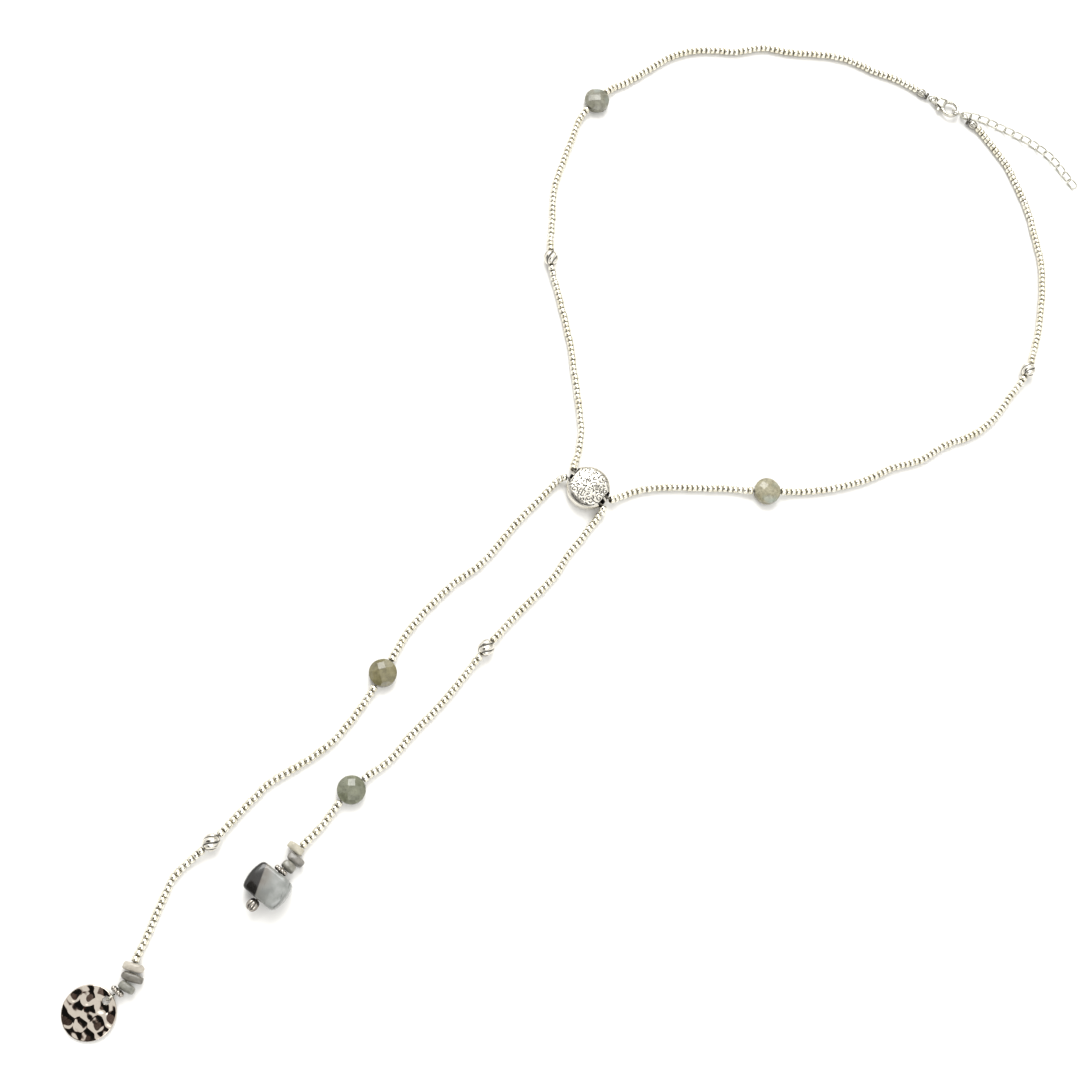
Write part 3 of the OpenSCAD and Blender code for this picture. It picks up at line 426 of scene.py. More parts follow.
# %% [markdown]
# ## Seed beads
#
# Seed beads are cut from a drawn glass tube and tumbled hot, so each is a short ring with rounded edges, and no two
# are quite alike. A bead is one small section carried round the hole. All the beads of a strand are placed in one
# array step and joined in one mesh, with six dozen faces each, because there are hundreds of them.

# %% Twelve strands of beads
def bead_strand(name, string, start, end, seed):
    """Bead n stands at start + (n + 1/2) pitch. Its section is the superellipse x = l/2 |sin t|^0.7,
    r = hole + (1.5 - hole) |cos t|^0.7 carried round the hole, and the hole's wall closes it."""
    rng = np.random.default_rng(seed)
    hole, rows, sides = 0.65, 6, 12
    count = round((end - start) / bead_l)
    pitch = (end - start) / count
    t, a = np.radians([-90, -64, -24, 24, 64, 90])[:, None], np.radians(np.arange(sides) * 360 / sides)[None, :]
    x = np.sign(np.sin(t)) * np.abs(np.sin(t)) ** 0.7 + 0 * a
    r = hole + (bead_d / 2 - hole) * np.abs(np.cos(t)) ** 0.7 + 0 * a
    shape = np.stack([x, r * np.cos(a), r * np.sin(a)], -1).reshape(1, -1, 3)
    size = np.stack([pitch / 2 * rng.uniform(0.95, 0.995, count), *[rng.uniform(0.94, 1.0, count)] * 2], -1)
    origin, axes = axes_at(string, start + (np.arange(count) + 0.5) * pitch, pitch / 2)
    yaw, pitched = rng.normal(0, 0.06, (count, 1)), rng.normal(0, 0.03, (count, 1))
    along = unit(axes[:, 0] + yaw * axes[:, 1] + pitched * axes[:, 2])
    level = unit(np.cross([0, 0, 1], along))
    axes = np.stack([along, level, np.cross(along, level)], 1)
    origin = origin + rng.uniform(-0.14, 0.14, (count, 1)) * axes[:, 1]
    points = origin[:, None] + np.einsum("npk,nkj->npj", shape * size[:, None], axes)
    faces = grid_faces(rows, sides, close_rows=True)
    faces = (faces[None] + (rows * sides * np.arange(count))[:, None, None]).reshape(-1, 4)
    tone = np.repeat(rng.random(count) * 0.8, rows * sides)
    # Painted shade between beads: full at each bead's two end rows, falling to none at its middle.
    seam = np.tile(np.repeat(np.abs(np.sin(t[:, 0])) ** 5, sides), count)
    piece = make_piece(name, points, faces, BEADS, tone=tone, seam=seam)
    dress(piece, "seed_beads", name.replace("strand_", ""))
    return count


coin_half, swirl_half = coin_d / 2 + strand_gap, swirl_d / 2 + strand_gap
NECK_ENDS = [collar_length, neck["coin"][0], neck["swirl"][0], neck["mouth"][0], neck["mouth"][1]]
NECK_ENDS += [neck["coin"][1], neck["swirl"][1], neck["length"] - collar_length]
DROP_ENDS = [drop["stack"][0], drop["swirl"][0], drop["coin"][0], drop["mouth"][0], drop["mouth"][1]]
DROP_ENDS += [drop["swirl"][1], drop["coin"][1], drop["stack"][1]]
total = 0
for string, ends, halves, names in (
    (neck, NECK_ENDS, (0, coin_half, swirl_half, slider_gap, slider_gap, coin_half, swirl_half, 0),
     ("neck_left_beads_1", "neck_left_beads_2", "neck_left_beads_3",
      "neck_right_beads_3", "neck_right_beads_2", "neck_right_beads_1")),
    (drop, DROP_ENDS, (0, swirl_half, coin_half, slider_gap, slider_gap, swirl_half, coin_half, 0),
     ("drop_left_beads_3", "drop_left_beads_2", "drop_left_beads_1",
      "drop_right_beads_1", "drop_right_beads_2", "drop_right_beads_3")),
):
    for k, name in zip((0, 1, 2, 4, 5, 6), names):
        total += bead_strand("strand_" + name, string, ends[k] + halves[k], ends[k + 1] - halves[k + 1], total)
print("seed beads:", total)

# %% [markdown]
# ## Checkerboard-cut coins
#
# A cutter grinds flat after flat over a domed coin, in two crossing sets of rows, so the face is a checkerboard of
# small mirrors. The exact way to model that is the cutter's: the coin is all that lies inside a set of planes. The
# planes touch a dome of 8.6 mm radius at points of a 2.4 mm grid, and 32 more planes make the round edge.

# %% Coins from their facet planes
def convex_mesh(points):
    """The convex hull of points as a bmesh, with flat regions joined into single faces."""
    mesh = bpy.data.meshes.new("hull")
    mesh.from_pydata(points.tolist(), [], [])
    bm = bmesh.new()
    bm.from_mesh(mesh)
    bpy.data.meshes.remove(mesh)
    bmesh.ops.remove_doubles(bm, verts=bm.verts, dist=1e-5)
    hull = bmesh.ops.convex_hull(bm, input=bm.verts)
    bmesh.ops.delete(bm, geom=[v for v in hull["geom_interior"] if isinstance(v, bmesh.types.BMVert)], context="VERTS")
    bm.normal_update()
    return bm


def cut_stone(name, normals, reach, material, string, s, half):
    """All points p with n . p <= reach for every facet. The hull of the duals n / reach has one face for each corner
    of the stone: the corner is the face's normal divided by its distance from the middle."""
    dual = convex_mesh(normals / reach[:, None])
    corners = np.array([f.normal / f.normal.dot(f.verts[0].co) for f in dual.faces])
    dual.free()
    solid = convex_mesh(threaded(corners, string, s, half) * MM)
    bmesh.ops.remove_doubles(solid, verts=solid.verts, dist=2e-6)
    bmesh.ops.dissolve_limit(solid, angle_limit=np.radians(0.6), verts=solid.verts, edges=solid.edges)
    bmesh.ops.recalc_face_normals(solid, faces=solid.faces)
    mesh = bpy.data.meshes.new(name)
    solid.to_mesh(mesh)
    solid.free()
    return shown(name, mesh, material)


def lathe(x, r, sides=32):
    """A profile turned about X: (x, r cos a, r sin a). It gives the points and the grid's size."""
    x, r = np.asarray(x, float)[:, None], np.asarray(r, float)[:, None]
    a = np.linspace(0, 2 * np.pi, sides, endpoint=False)[None, :]
    return np.stack([x + 0 * a, r * np.cos(a), r * np.sin(a)], -1), (len(x), sides)


def drill(piece, string, s, half, length):
    """Drills the hole along a threaded piece."""
    rod, (rows, sides) = lathe([-length, -length, length, length], [0, bore_r, bore_r, 0], 24)
    points = threaded(rod.reshape(-1, 3), string, s, half)
    return take_out(piece, make_piece("drill", points, grid_faces(rows, sides), piece.data.materials[0], merge=True))


facet = np.array([(i, j) for i in range(-2, 3) for j in range(-2, 3) if abs(i) + abs(j) < 3]) * 2.4
facet = np.stack([turned(p, 45) for p in facet])
crown = 1.6
dome_up = ((coin_d / 2) ** 2 + crown**2) / (2 * crown)
tangent = np.column_stack([facet, np.sqrt(dome_up**2 - (facet**2).sum(1))]) / dome_up
height = (tangent @ [0, 0, coin_t / 2 - dome_up]) + dome_up
girdle = np.radians(np.arange(32) * 360 / 32)
normals = np.vstack([tangent, tangent * [1, 1, -1], np.stack([np.cos(girdle), np.sin(girdle), 0 * girdle], -1)])
reach = np.concatenate([height, height, np.full(32, coin_d / 2 * np.cos(np.pi / 32))])
for key, string, s in four("coin"):
    coin = cut_stone("faceted_coin_" + key, normals, reach, COINS[key], string, s, coin_d / 2)
    drill(coin, string, s, coin_d / 2, coin_d)
    edge = coin.modifiers.new("worn_edges", "BEVEL")
    edge.width, edge.segments, edge.limit_method = 0.07 * MM, 1, "ANGLE"
    dress(coin, "labradorite", "coin_" + key)
print("coin facets:", len(coin.data.polygons), "thickness mm:", coin_t)

# %% [markdown]
# ## Twisted and fluted beads
#
# The silver beads are cast with five broad lobes that turn as they run along the hole, with black left in the
# grooves. The end bead and the two collar beads have eight straight flutes. All are one formula: a round bead's
# half width, less a groove that repeats round the hole, on an angle that turns along the hole.

# %% Swirl, end and collar beads
def lobed(d, lobes, groove, twist, rows, sides):
    """r = bore + (d/2 - bore) sqrt(1 - u^2) - groove (1 - u^2) (1 - |cos(lobes (a - twist u / 2) / 2)|)
    on u from -1 to 1 along the hole. It gives the points and how deep in a groove each one is, from 0 to 1."""
    u = -np.cos(np.linspace(0, np.pi, rows))[:, None]
    a = np.linspace(0, 2 * np.pi, sides, endpoint=False)[None, :]
    dip = 1 - np.abs(np.cos(lobes * (a - np.radians(twist) * u / 2) / 2))
    r = bore_r + (d / 2 - bore_r) * np.sqrt(1 - u**2) - groove * (1 - u**2) * dip
    return np.stack([u * d / 2 + 0 * a, r * np.cos(a), r * np.sin(a)], -1), dip


def lobed_piece(name, material, string, s, d, lobes, groove, twist=0, rows=33, sides=80):
    """A lobed bead put on its string, with its grooves blackened."""
    points, dip = lobed(d, lobes, groove, twist, rows, sides)
    black = np.clip((dip - 0.5) / 0.35, 0, 1)
    placed = threaded(points.reshape(-1, 3), string, s, d / 2)
    return make_piece(name, placed, grid_faces(rows, sides, close_rows=True), material, depth=black.ravel())


for key, string, s in four("swirl"):
    bead = lobed_piece("twisted_bead_" + key, CAST, string, s, swirl_d, 5, 0.6, 110, 49, 100)
    dress(bead, "swirl_silver", "swirl_" + key)
bead = lobed_piece("fluted_end_bead", SPACER, drop, drop["stack"][1] + right_at[5], end_bead_d, 8, 0.3)
dress(bead, "gunmetal", "end_bead")
for side, s in (("left", collar_at[1]), ("right", neck["length"] - collar_at[1])):
    bead = lobed_piece("fluted_collar_bead_" + side, SILVER, neck, s, collar_bead_d, 8, 0.17)
    dress(bead, "clasp_silver", "collar_bead_" + side)
print("twisted bead mm:", swirl_d, "end bead mm:", end_bead_d)

# %% [markdown]
# ## Slider
#
# The slider is a domed disc, cast with two tunnels for the strings. Scrolls cut into its face hold the black that is
# left when the silver is polished. The face is a polar grid, and each of its points sinks by how near it is to the
# nearest scroll line. The tunnels are then cut with a Boolean, as a founder's cores would leave them.

# %% Scroll lines and the domed face
def spiral(x, y, inner, outer, start, turns, n=90):
    """Points (x + r cos a, y + r sin a), with r growing evenly from inner to outer over the turns."""
    t = np.linspace(0, 1, n)
    r, a = inner + (outer - inner) * t, np.radians(start) + 2 * np.pi * turns * t
    return np.stack([x + r * np.cos(a), y + r * np.sin(a)], -1)


def stroke(*numbers, n=36):
    """A smooth line between the first and last of two or three points given as x, y, x, y, ..., drawn towards the
    middle one: (1-t)^2 a + 2t(1-t) b + t^2 c."""
    corners = np.array(numbers, float).reshape(-1, 2)
    a, c = corners[0], corners[-1]
    b = (a + c) / 2 if len(corners) < 3 else corners[1]
    t = np.linspace(0, 1, n)[:, None]
    return (1 - t) ** 2 * a + 2 * t * (1 - t) * b + t**2 * c


CURLS = [
    (-2.5, 0.2, 0.15, 0.95, 60, 1.2, 30), (-1.0, 1.6, 0.15, 0.8, 200, -1.2, 30), (5.9, -1.4, 0.2, 1.6, 120, -1.3, 40),
    (6.1, 2.2, 0.2, 1.1, -60, 1.1, 30), (-3.4, -4.8, 0.2, 1.3, 30, -1.1, 30), (1.2, -5.8, 0.15, 0.8, 200, -1.0, 30),
]
STROKES = [
    (-6.3, 4.1, -6.1, 3.3, -5.6, 2.5), (-5.0, 2.9, -4.9, 4.3), (-6.0, 1.3, -5.3, 0.6),
    (-3.5, 5.9, -4.0, 5.0, -3.6, 4.3), (-1.4, 5.8, -0.5, 6.0), (-4.3, -0.1, -4.0, 1.0),
    (-3.2, 1.9, -2.6, 3.0, -1.7, 2.7), (-2.9, -1.3, -1.6, -1.7, -0.6, -0.6), (-0.6, -0.6, -0.9, -2.6, -0.2, -5.3),
    (0.0, 0.3, 0.1, 1.9, 1.6, 2.5), (-0.8, 3.0, -0.3, 4.1), (1.0, 4.6, 0.4, 6.2, 1.7, 7.0), (-7.2, 0.1, -6.5, -0.4),
    (-6.3, -1.5, -6.2, -2.4), (-5.7, -1.0, -5.3, -1.4), (-6.7, -3.6, -6.3, -2.9),
    (-6.1, -4.5, -5.4, -3.4, -4.2, -3.6), (-3.7, -2.4, -2.9, -2.1), (-1.0, -5.2, -2.0, -4.3, -1.5, -2.7),
    (1.3, -3.1, 2.2, -3.4, 1.9, -2.5), (0.5, -1.5, 1.1, -1.6), (2.6, -4.7, 3.7, -4.9, 3.3, -3.7),
    (3.8, -5.0, 4.9, -5.1, 4.6, -4.2), (3.4, -0.5, 4.4, -0.1), (3.4, -2.3, 4.4, -2.9),
    (3.6, -3.3, 5.3, -4.1, 6.6, -2.9), (4.6, 1.1, 5.5, 0.9), (5.1, 1.6, 4.9, 2.4), (2.8, 6.5, 3.5, 6.4),
    (3.6, 5.6, 4.3, 5.9), (5.5, 4.4, 6.1, 4.2), (-0.8, -7.3, 1.1, -7.9, 2.8, -6.8), (2.8, -6.8, 4.8, -6.4, 5.9, -4.5),
]
BOLD = [spiral(*c) for c in CURLS] + [stroke(*c) for c in STROKES]
DOTS = [
    (-5.0, -4.9), (-2.9, -6.6), (-2.1, -6.7), (-4.7, 5.1), (-4.3, 2.0), (-4.9, 1.1), (0.5, -3.6), (2.7, -1.2),
    (4.4, -1.8), (5.2, 3.1), (6.5, 3.7), (-1.9, 4.6), (0.3, 6.9), (2.4, 5.2), (-4.6, -1.6), (-5.0, -2.6), (-5.9, 0.0),
]
RAYS = [(3.4, 5.0), (4.2, 4.5), (4.8, 3.6), (4.6, 2.6), (4.1, 1.7), (3.9, 0.8), (3.2, 0.0), (2.3, -0.8)]
FINE = [stroke(1.3, 1.1, *c) for c in RAYS] + [stroke(*c) for c in (
    (-3.2, 3.4, -1.9, 3.9, -1.0, 4.9), (-5.6, -0.2, -4.8, -0.9), (0.3, -2.6, 0.6, -5.2), (1.4, -0.6, 1.7, -2.0),
    (2.2, 3.6, 1.9, 4.6), (0.2, 2.9, 0.9, 3.9),
)]
# Small leaf cuts fill the ground between the scrolls, on a spiral of even spacing.
rng = np.random.default_rng(7)
spread = np.arange(2, 130)
leaf = np.stack([np.cos(2.4 * spread), np.sin(2.4 * spread)], -1) * 0.62 * np.sqrt(spread)[:, None]
leaf += rng.normal(0, 0.12, leaf.shape)
far_off = np.array([np.hypot(*(np.vstack(BOLD) - p).T).min() for p in leaf]) > 0.42
LEAVES = [
    stroke(*p, *(p + 0.45 * w + 0.25 * np.array([-w[1], w[0]])), *(p + 0.8 * w))
    for p, w in zip(leaf[far_off], unit(rng.normal(0, 1, leaf.shape))[far_off])
]
sides, field, corner, rim_t = 360, 6.95, 1.3, 3.8
dome_h = (slider_t - rim_t) / 2
dome_r = ((slider_d / 2) ** 2 + dome_h**2) / (2 * dome_h)
r = np.concatenate([np.linspace(0, field, 100), field + corner * np.sin(np.radians([8, 17, 26, 36, 47, 58, 72, 90]))])
z = slider_t / 2 - dome_r + np.sqrt(dome_r**2 - np.minimum(r, field) ** 2)
z -= corner * (1 - np.sqrt(np.clip(1 - ((r - field).clip(0) / corner) ** 2, 0, 1)))
angle = np.linspace(0, 2 * np.pi, sides, endpoint=False)
face_x, face_y = r[:, None] * np.cos(angle), r[:, None] * np.sin(angle)


def sunk(lines, half_width):
    """e^-(distance to the nearest point of the lines / half width)^2 at each point of the face."""
    near = np.full(face_x.shape, 9.0)
    for x, y in np.vstack(lines):
        near = np.minimum(near, np.hypot(face_x - x, face_y - y))
    return np.exp(-((near / half_width) ** 2))


cut = np.maximum.reduce([sunk(BOLD, 0.15), sunk([DOTS], 0.19), 0.9 * sunk(LEAVES, 0.12), 0.55 * sunk(FINE, 0.1)])
inside = np.clip((7.5 - r[:, None]) / 0.9, 0, 1)
face_z = z[:, None] + relief_h * inside * (1 - 0.7 * cut)
top = np.stack([face_x, face_y, face_z], -1)
# The underside is the face turned half round X, so its columns run the other way.
back = -np.arange(sides)
points = np.concatenate([top, (top[:, back] * [1, -1, -1])[::-1]]).reshape(-1, 3)
# A dark band is also painted in the low ground beside the rim, darkest on one side and none on the other half.
darkest_side = np.radians(-70 - slider_turn)
uneven = 0.75 + 0.25 * np.sin(11 * angle) * np.sin(4 * angle)
marked = np.cos(angle - darkest_side)[None, :].clip(0, 1) * uneven
cut = np.maximum(cut, 0.6 * marked * np.exp(-(((r[:, None] - 7.3) / 0.4) ** 2)))
black = (1.6 * np.concatenate([cut, cut[::-1, back]]).ravel()).clip(0, 1)
place_slider = lambda p: p @ turn("Z", slider_turn) + [*slider_at, slider_z]
faces = grid_faces(2 * len(r), sides)
slider = make_piece("scrolled_slider", place_slider(points), faces, CAST, merge=True, depth=black)
print("scroll lines:", len(BOLD) + len(FINE), "slider faces:", len(slider.data.polygons))

# %% The two tunnels
mouth_x, mouth_r, core_r = channel_half - 1.2, 1.4, 0.9
# A mouth is round below and open above: half a circle, and straight sides up from it.
a = np.radians(np.linspace(180, 360, 21))
section = mouth_r * np.vstack([np.stack([np.cos(a), np.sin(a)], -1), [[1.0, 4.5], [-1.0, 4.5]]])
tunnels = []
for side in (-1, 1):
    middle = np.array([0, side * channel_pitch / 2, 0])
    core, size = lathe([-mouth_x - 0.1, -mouth_x - 0.1, mouth_x + 0.1, mouth_x + 0.1], [0, core_r, core_r, 0], 40)
    tunnels.append((core.reshape(-1, 3) + middle, grid_faces(*size)))
    for end in (-1, 1):
        steps = ((mouth_x, 0), (mouth_x, 1), (12, 1), (12, 0))
        rows = [np.column_stack([np.full(23, x), *(section * share).T]) for x, share in steps]
        tunnels.append((np.vstack(rows) @ turn("Z", 90 - 90 * end) + middle, grid_faces(4, 23)))
# The cutters are black through (depth 1), as painted shade on the tunnel walls they leave.
for points, faces in tunnels:
    take_out(slider, make_piece("core", place_slider(points), faces, CAST, merge=True, depth=1.0))
# The mouths' walls are painted black: the patina there, and painted shade inside the tunnels.
place = np.empty(3 * len(slider.data.vertices), np.float32)
slider.data.vertices.foreach_get("co", place)
x, y, z = ((place.reshape(-1, 3) / MM - [*slider_at, slider_z]) @ turn("Z", -slider_turn)).T
black = np.empty(len(x), np.float32)
slider.data.attributes["depth"].data.foreach_get("value", black)
near = mouth_r + 0.02
black[(np.abs(np.abs(y) - channel_pitch / 2) < near) & (np.abs(x) > mouth_x - 0.02) & (z > -near)] = 1
slider.data.attributes["depth"].data.foreach_set("value", black)
dress(slider, "oxidised_silver", "slider_disc")
print("slider with tunnels:", len(slider.data.polygons), "faces")

# %% [markdown]
# ## Tumbled chips
#
# Chips are broken stone, tumbled with grit until every corner is gone. A pebble like that is the hull of a few
# ellipsoids with its creases worn smooth: in each direction the farthest points of three ellipsoids are blended, and
# the farther one counts most. Low waves then give it the uneven skin.

# %% Six pebbles
# Share of the full width and height, share of the width set off to one side, and degrees askew.
chip_w, pressed = 8.0, 0.045
CHIP_SHAPES = [
    (0.96, 1, -0.06, 4), (1, 0.9, -0.18, 4), (0.78, 0.84, -0.2, 4),
    (0.82, 1, -0.14, 3), (0.84, 0.92, 0.18, 3), (0.66, 0.84, 0.14, 3),
]


def pebble(n, rows=37, sides=56):
    """For each direction of a sphere: the sum over ellipsoids of weight (centre + farthest point of
    |x/a|^3.2 + |y/b|^3.2 + |z/c|^3.2 = 1), with weights that grow as e to the power 3 (direction . point). Three low
    sine waves then press it in by up to 9%, and it starts 7% too long to allow for that."""
    wide, tall, aside, askew = CHIP_SHAPES[n]
    l, w, h = chip_l * 1.07, chip_w * wide, chip_h * tall
    lat = np.linspace(-np.pi / 2, np.pi / 2, rows)[:, None]
    lon = np.linspace(0, 2 * np.pi, sides, endpoint=False)[None, :]
    way = np.stack([np.cos(lat) * np.cos(lon), np.cos(lat) * np.sin(lon), np.sin(lat) + 0 * lon], -1)
    size = np.array([[l, w * 0.72, h], [l * 0.96, w * 0.52, h * 0.84], [l * 0.92, w * 0.56, h * 0.76]]) / 2
    size = size[:, None, None]
    middle = np.array([[0, 0, 0], [0, w * 0.24, -h * 0.06], [0, -w * 0.22, h * 0.05]])[:, None, None]
    pull = np.abs(size * way)
    far = middle + size * np.sign(way) * pull ** (1 / 2.2) / (pull ** (3.2 / 2.2)).sum(-1, keepdims=True) ** (1 / 3.2)
    weight = np.exp(3 * (far * way).sum(-1, keepdims=True))
    p = (far * weight).sum(0) / weight.sum(0)
    x, y, z = np.moveaxis(p, -1, 0)
    wave = np.sin(1.3 * y + n) * np.cos(1.9 * z + 2 * n) + 0.6 * np.sin(2.3 * x + 2.1 * y + 3 * n)
    p = p * (1 - pressed * (1 + wave / 1.6))[..., None]
    return (p.reshape(-1, 3) + [0, chip_w * aside, 0]) @ turn("Z", askew), grid_faces(rows, sides)


for n in range(6):
    side, s = ("left", drop["stack"][0] - left_at[n]) if n < 3 else ("right", drop["stack"][1] + right_at[n - 3])
    points, faces = pebble(n)
    points = threaded(points, drop, s, chip_l / 2)
    chip = make_piece(f"tumbled_chip_{side}_{n % 3 + 1}", points, faces, CHIPS[n], merge=True)
    drill(chip, drop, s, chip_l / 2, 2 * chip_l)
    dress(chip, "pale_chip" if n in (0, 3) else "dark_chip", f"chip_{side}_{n % 3 + 1}")
print("chips:", 6, "each", chip_l, "mm along the string")

# %% [markdown]
# ## Spacers and crimps
#
# A spacer is a ring of eight small balls soldered round a short tube. A crimp is a soft tube squeezed on the thread.
# Both are turned shapes, and the balls repeat one small sphere round the hole.

# %% Two spacers and two crimps
def granulated(rows=13, sides=20):
    """Eight balls of 0.85 mm radius on a 1.75 mm circle, and a tube of 1.6 mm radius with rounded ends between them."""
    t = np.radians(np.linspace(-90, 90, rows))
    ball, _ = lathe(0.85 * np.sin(t), 0.85 * np.cos(t), sides)
    turns = np.radians(22.5 + 45 * np.arange(8))
    out = 1.75 * np.stack([0 * turns, np.cos(turns), np.sin(turns)], -1)
    balls = (ball.reshape(1, -1, 3) + out[:, None]).reshape(-1, 3)
    core, _ = lathe(0.62 * np.sign(np.sin(t)) * np.abs(np.sin(t)) ** 0.5, bore_r + 0.95 * np.cos(t) ** 0.5, 40)
    faces = [grid_faces(rows, sides) + k * rows * sides for k in range(8)]
    faces.append(grid_faces(rows, 40, close_rows=True) + 8 * rows * sides)
    # Painted shade between the balls: their inner parts and the whole tube are black.
    painted_shade = np.concatenate([((2.0 - np.hypot(balls[:, 1], balls[:, 2])) / 0.5).clip(0, 1), np.ones(rows * 40)])
    return np.vstack([balls, core.reshape(-1, 3)]), np.vstack(faces), painted_shade


for side, s in (("left", drop["stack"][0] - left_at[3]), ("right", drop["stack"][1] + right_at[3])):
    points, faces, painted_shade = granulated()
    points = threaded(points, drop, s, spacer_t / 2)
    spacer = make_piece("granulated_spacer_" + side, points, faces, SPACER, merge=True, depth=painted_shade)
    dress(spacer, "gunmetal", "spacer_" + side)
for side, s in (("left", collar_at[0]), ("right", neck["length"] - collar_at[0])):
    t = np.radians(np.linspace(-90, 90, 13))
    tube, size = lathe(crimp_l / 2 * np.sin(t), bore_r + (crimp_d / 2 - bore_r) * np.cos(t) ** 0.35, 40)
    tube[..., 2] *= 1 - 0.12 * np.cos(np.arctan2(tube[..., 1], tube[..., 2])) ** 8
    crimp = make_piece("squeezed_crimp_" + side, threaded(tube.reshape(-1, 3), neck, s, crimp_l / 2),
                       grid_faces(*size, close_rows=True), CRIMP)
    dress(crimp, "crimp_metal", "crimp_" + side)
print("spacer mm:", spacer_d, "x", spacer_t, "crimp mm:", crimp_d, "x", crimp_l)

# %% [markdown]
# ## Pillow bead of needle quartz
#
# The biggest stone is a rounded block of milky quartz, clear enough to show fine black needles inside it. One third
# is smoky black, with a straight edge where the crystal grew dark. The form is a superellipsoid: a sphere whose
# cosines and sines are raised to a power below one, which fills its corners. The needles are stretched noise.

# %% Pillow bead and its stone
def needle_quartz(corner, across):
    """Milky stone, with a smoky part beyond a plane through a corner, and needles stretched along the crystal."""
    made, tree, shader, place = material("needle_quartz", Roughness=0.12, IOR=1.544)
    lies = node(tree, "Mapping", {"Vector": place, "Rotation": (0.0, 0.0, 1.0)}).outputs[0]
    thin = node(tree, "Mapping", {"Vector": lies, "Scale": (0.08, 1.0, 0.5)}).outputs[0]
    strands = node(tree, "TexNoise", {"Vector": thin, "Scale": 1500.0, "Detail": 2.0}).outputs["Fac"]
    needles = node(tree, "MapRange", {"Value": strands, "From Min": 0.66, "From Max": 0.70, "To Max": 0.7}).outputs[0]
    mist = node(tree, "TexNoise", {"Vector": place, "Scale": 260.0, "Detail": 3.0}).outputs["Fac"]
    misty = node(tree, "MapRange", {"Value": mist, "From Min": 0.35, "From Max": 0.65}).outputs[0]
    stone = node(tree, "Mix", {0: misty, 6: linear("#70726f"), 7: linear("#8d8f8c")}, data_type="RGBA").outputs[2]
    off = node(tree, "VectorMath", {0: place, 1: tuple(corner)}, operation="SUBTRACT").outputs[0]
    side = node(tree, "VectorMath", {0: off, 1: tuple(across)}, operation="DOT_PRODUCT").outputs["Value"]
    # Rust has crept a few mm from the smoky part into the pale part.
    near = node(tree, "MapRange", {"Value": side, "From Min": -0.0045, "From Max": 0.0, "To Max": 0.8}).outputs[0]
    rust = node(tree, "Math", {0: near, 1: misty}, operation="MULTIPLY").outputs[0]
    stone = node(tree, "Mix", {0: rust, 6: stone, 7: linear("#564a3c")}, data_type="RGBA").outputs[2]
    laced = node(tree, "Mix", {0: needles, 6: stone, 7: linear("#23221f")}, data_type="RGBA").outputs[2]
    smoky = node(tree, "MapRange", {"Value": side, "From Min": -0.0002, "From Max": 0.0002, "To Max": 0.95}).outputs[0]
    shade = node(tree, "Mix", {0: smoky, 6: laced, 7: linear("#0d0c0b")}, data_type="RGBA").outputs[2]
    tree.links.new(shade, shader.inputs["Base Color"])
    return milky(made, 0.2, 0.6)


def bulge(v):
    """sign(v) |v|^power, which fills the corners of a circle."""
    return np.sign(v) * np.abs(v) ** pillow_power


pillow_power, end_power = 0.36, 12
pillow_s = drop["stack"][1] + right_at[4]
u = np.sin(np.linspace(-np.pi / 2, np.pi / 2, 81))[:, None]
lon = np.linspace(0, 2 * np.pi, 128, endpoint=False)[None, :]
share = (1 - 0.15 * u**2) * (1 - np.abs(u) ** end_power).clip(0, 1) ** (1 / end_power)
block = np.stack([
    pillow_l / 2 * u + 0 * lon, pillow_w / 2 * share * bulge(np.cos(lon)), pillow_h / 2 * share * bulge(np.sin(lon))
], -1)
origin, axes = axes_at(drop, pillow_s, pillow_l / 2)
edge_at = (origin[0] + np.array([0.0, -2.9, 0.0]) @ axes[0]) * MM
edge_way = unit(np.array([0.35, -0.94, 0.0]) @ axes[0])
QUARTZ = needle_quartz(edge_at, edge_way)
pillow = make_piece("needle_quartz_pillow", threaded(block.reshape(-1, 3), drop, pillow_s, pillow_l / 2),
                    grid_faces(81, 128), QUARTZ, merge=True)
drill(pillow, drop, pillow_s, pillow_l / 2, pillow_l)
dress(pillow, "quartz", "pillow_bead")
print("pillow bead mm:", pillow_l, pillow_w, pillow_h)

# %% [markdown]
# ## Hammered pendant
#
# The pendant is a plated brass disc, struck all over with a ball hammer. Each blow leaves a shallow piece of a
# sphere. The face takes the lowest of the flat and all the spheres, blended where they meet so that the ridges are
# rounded, as the metal flows under the hammer. The disc leans on its small loop.

# %% Disc with dents
DENTS = [
    (0.05, 0, 1), (0.5, 20, 0.9), (0.52, 95, 1), (0.5, 168, 0.8), (0.5, 240, 1), (0.48, 312, 0.9),
    (0.82, 55, 0.8), (0.84, 128, 1), (0.8, 205, 0.9), (0.84, 275, 0.8), (0.82, 345, 1),
]
disc_d, disc_t, dent_depth, ball_r, soft = 18.0, 1.3, 0.35, 9.1, 0.035
loop_w, loop_l, wire_d = 2.3, 2.3, 0.6
left_end = drop["stack"][0] - sum(left_stack) - 5 * string_gap
pendant_at = on_string(drop, left_end)[0] * [1, 1, 0]
disc_lean = np.degrees(np.arcsin((loop_w / 2 + wire_d - disc_t / 2) / disc_d))


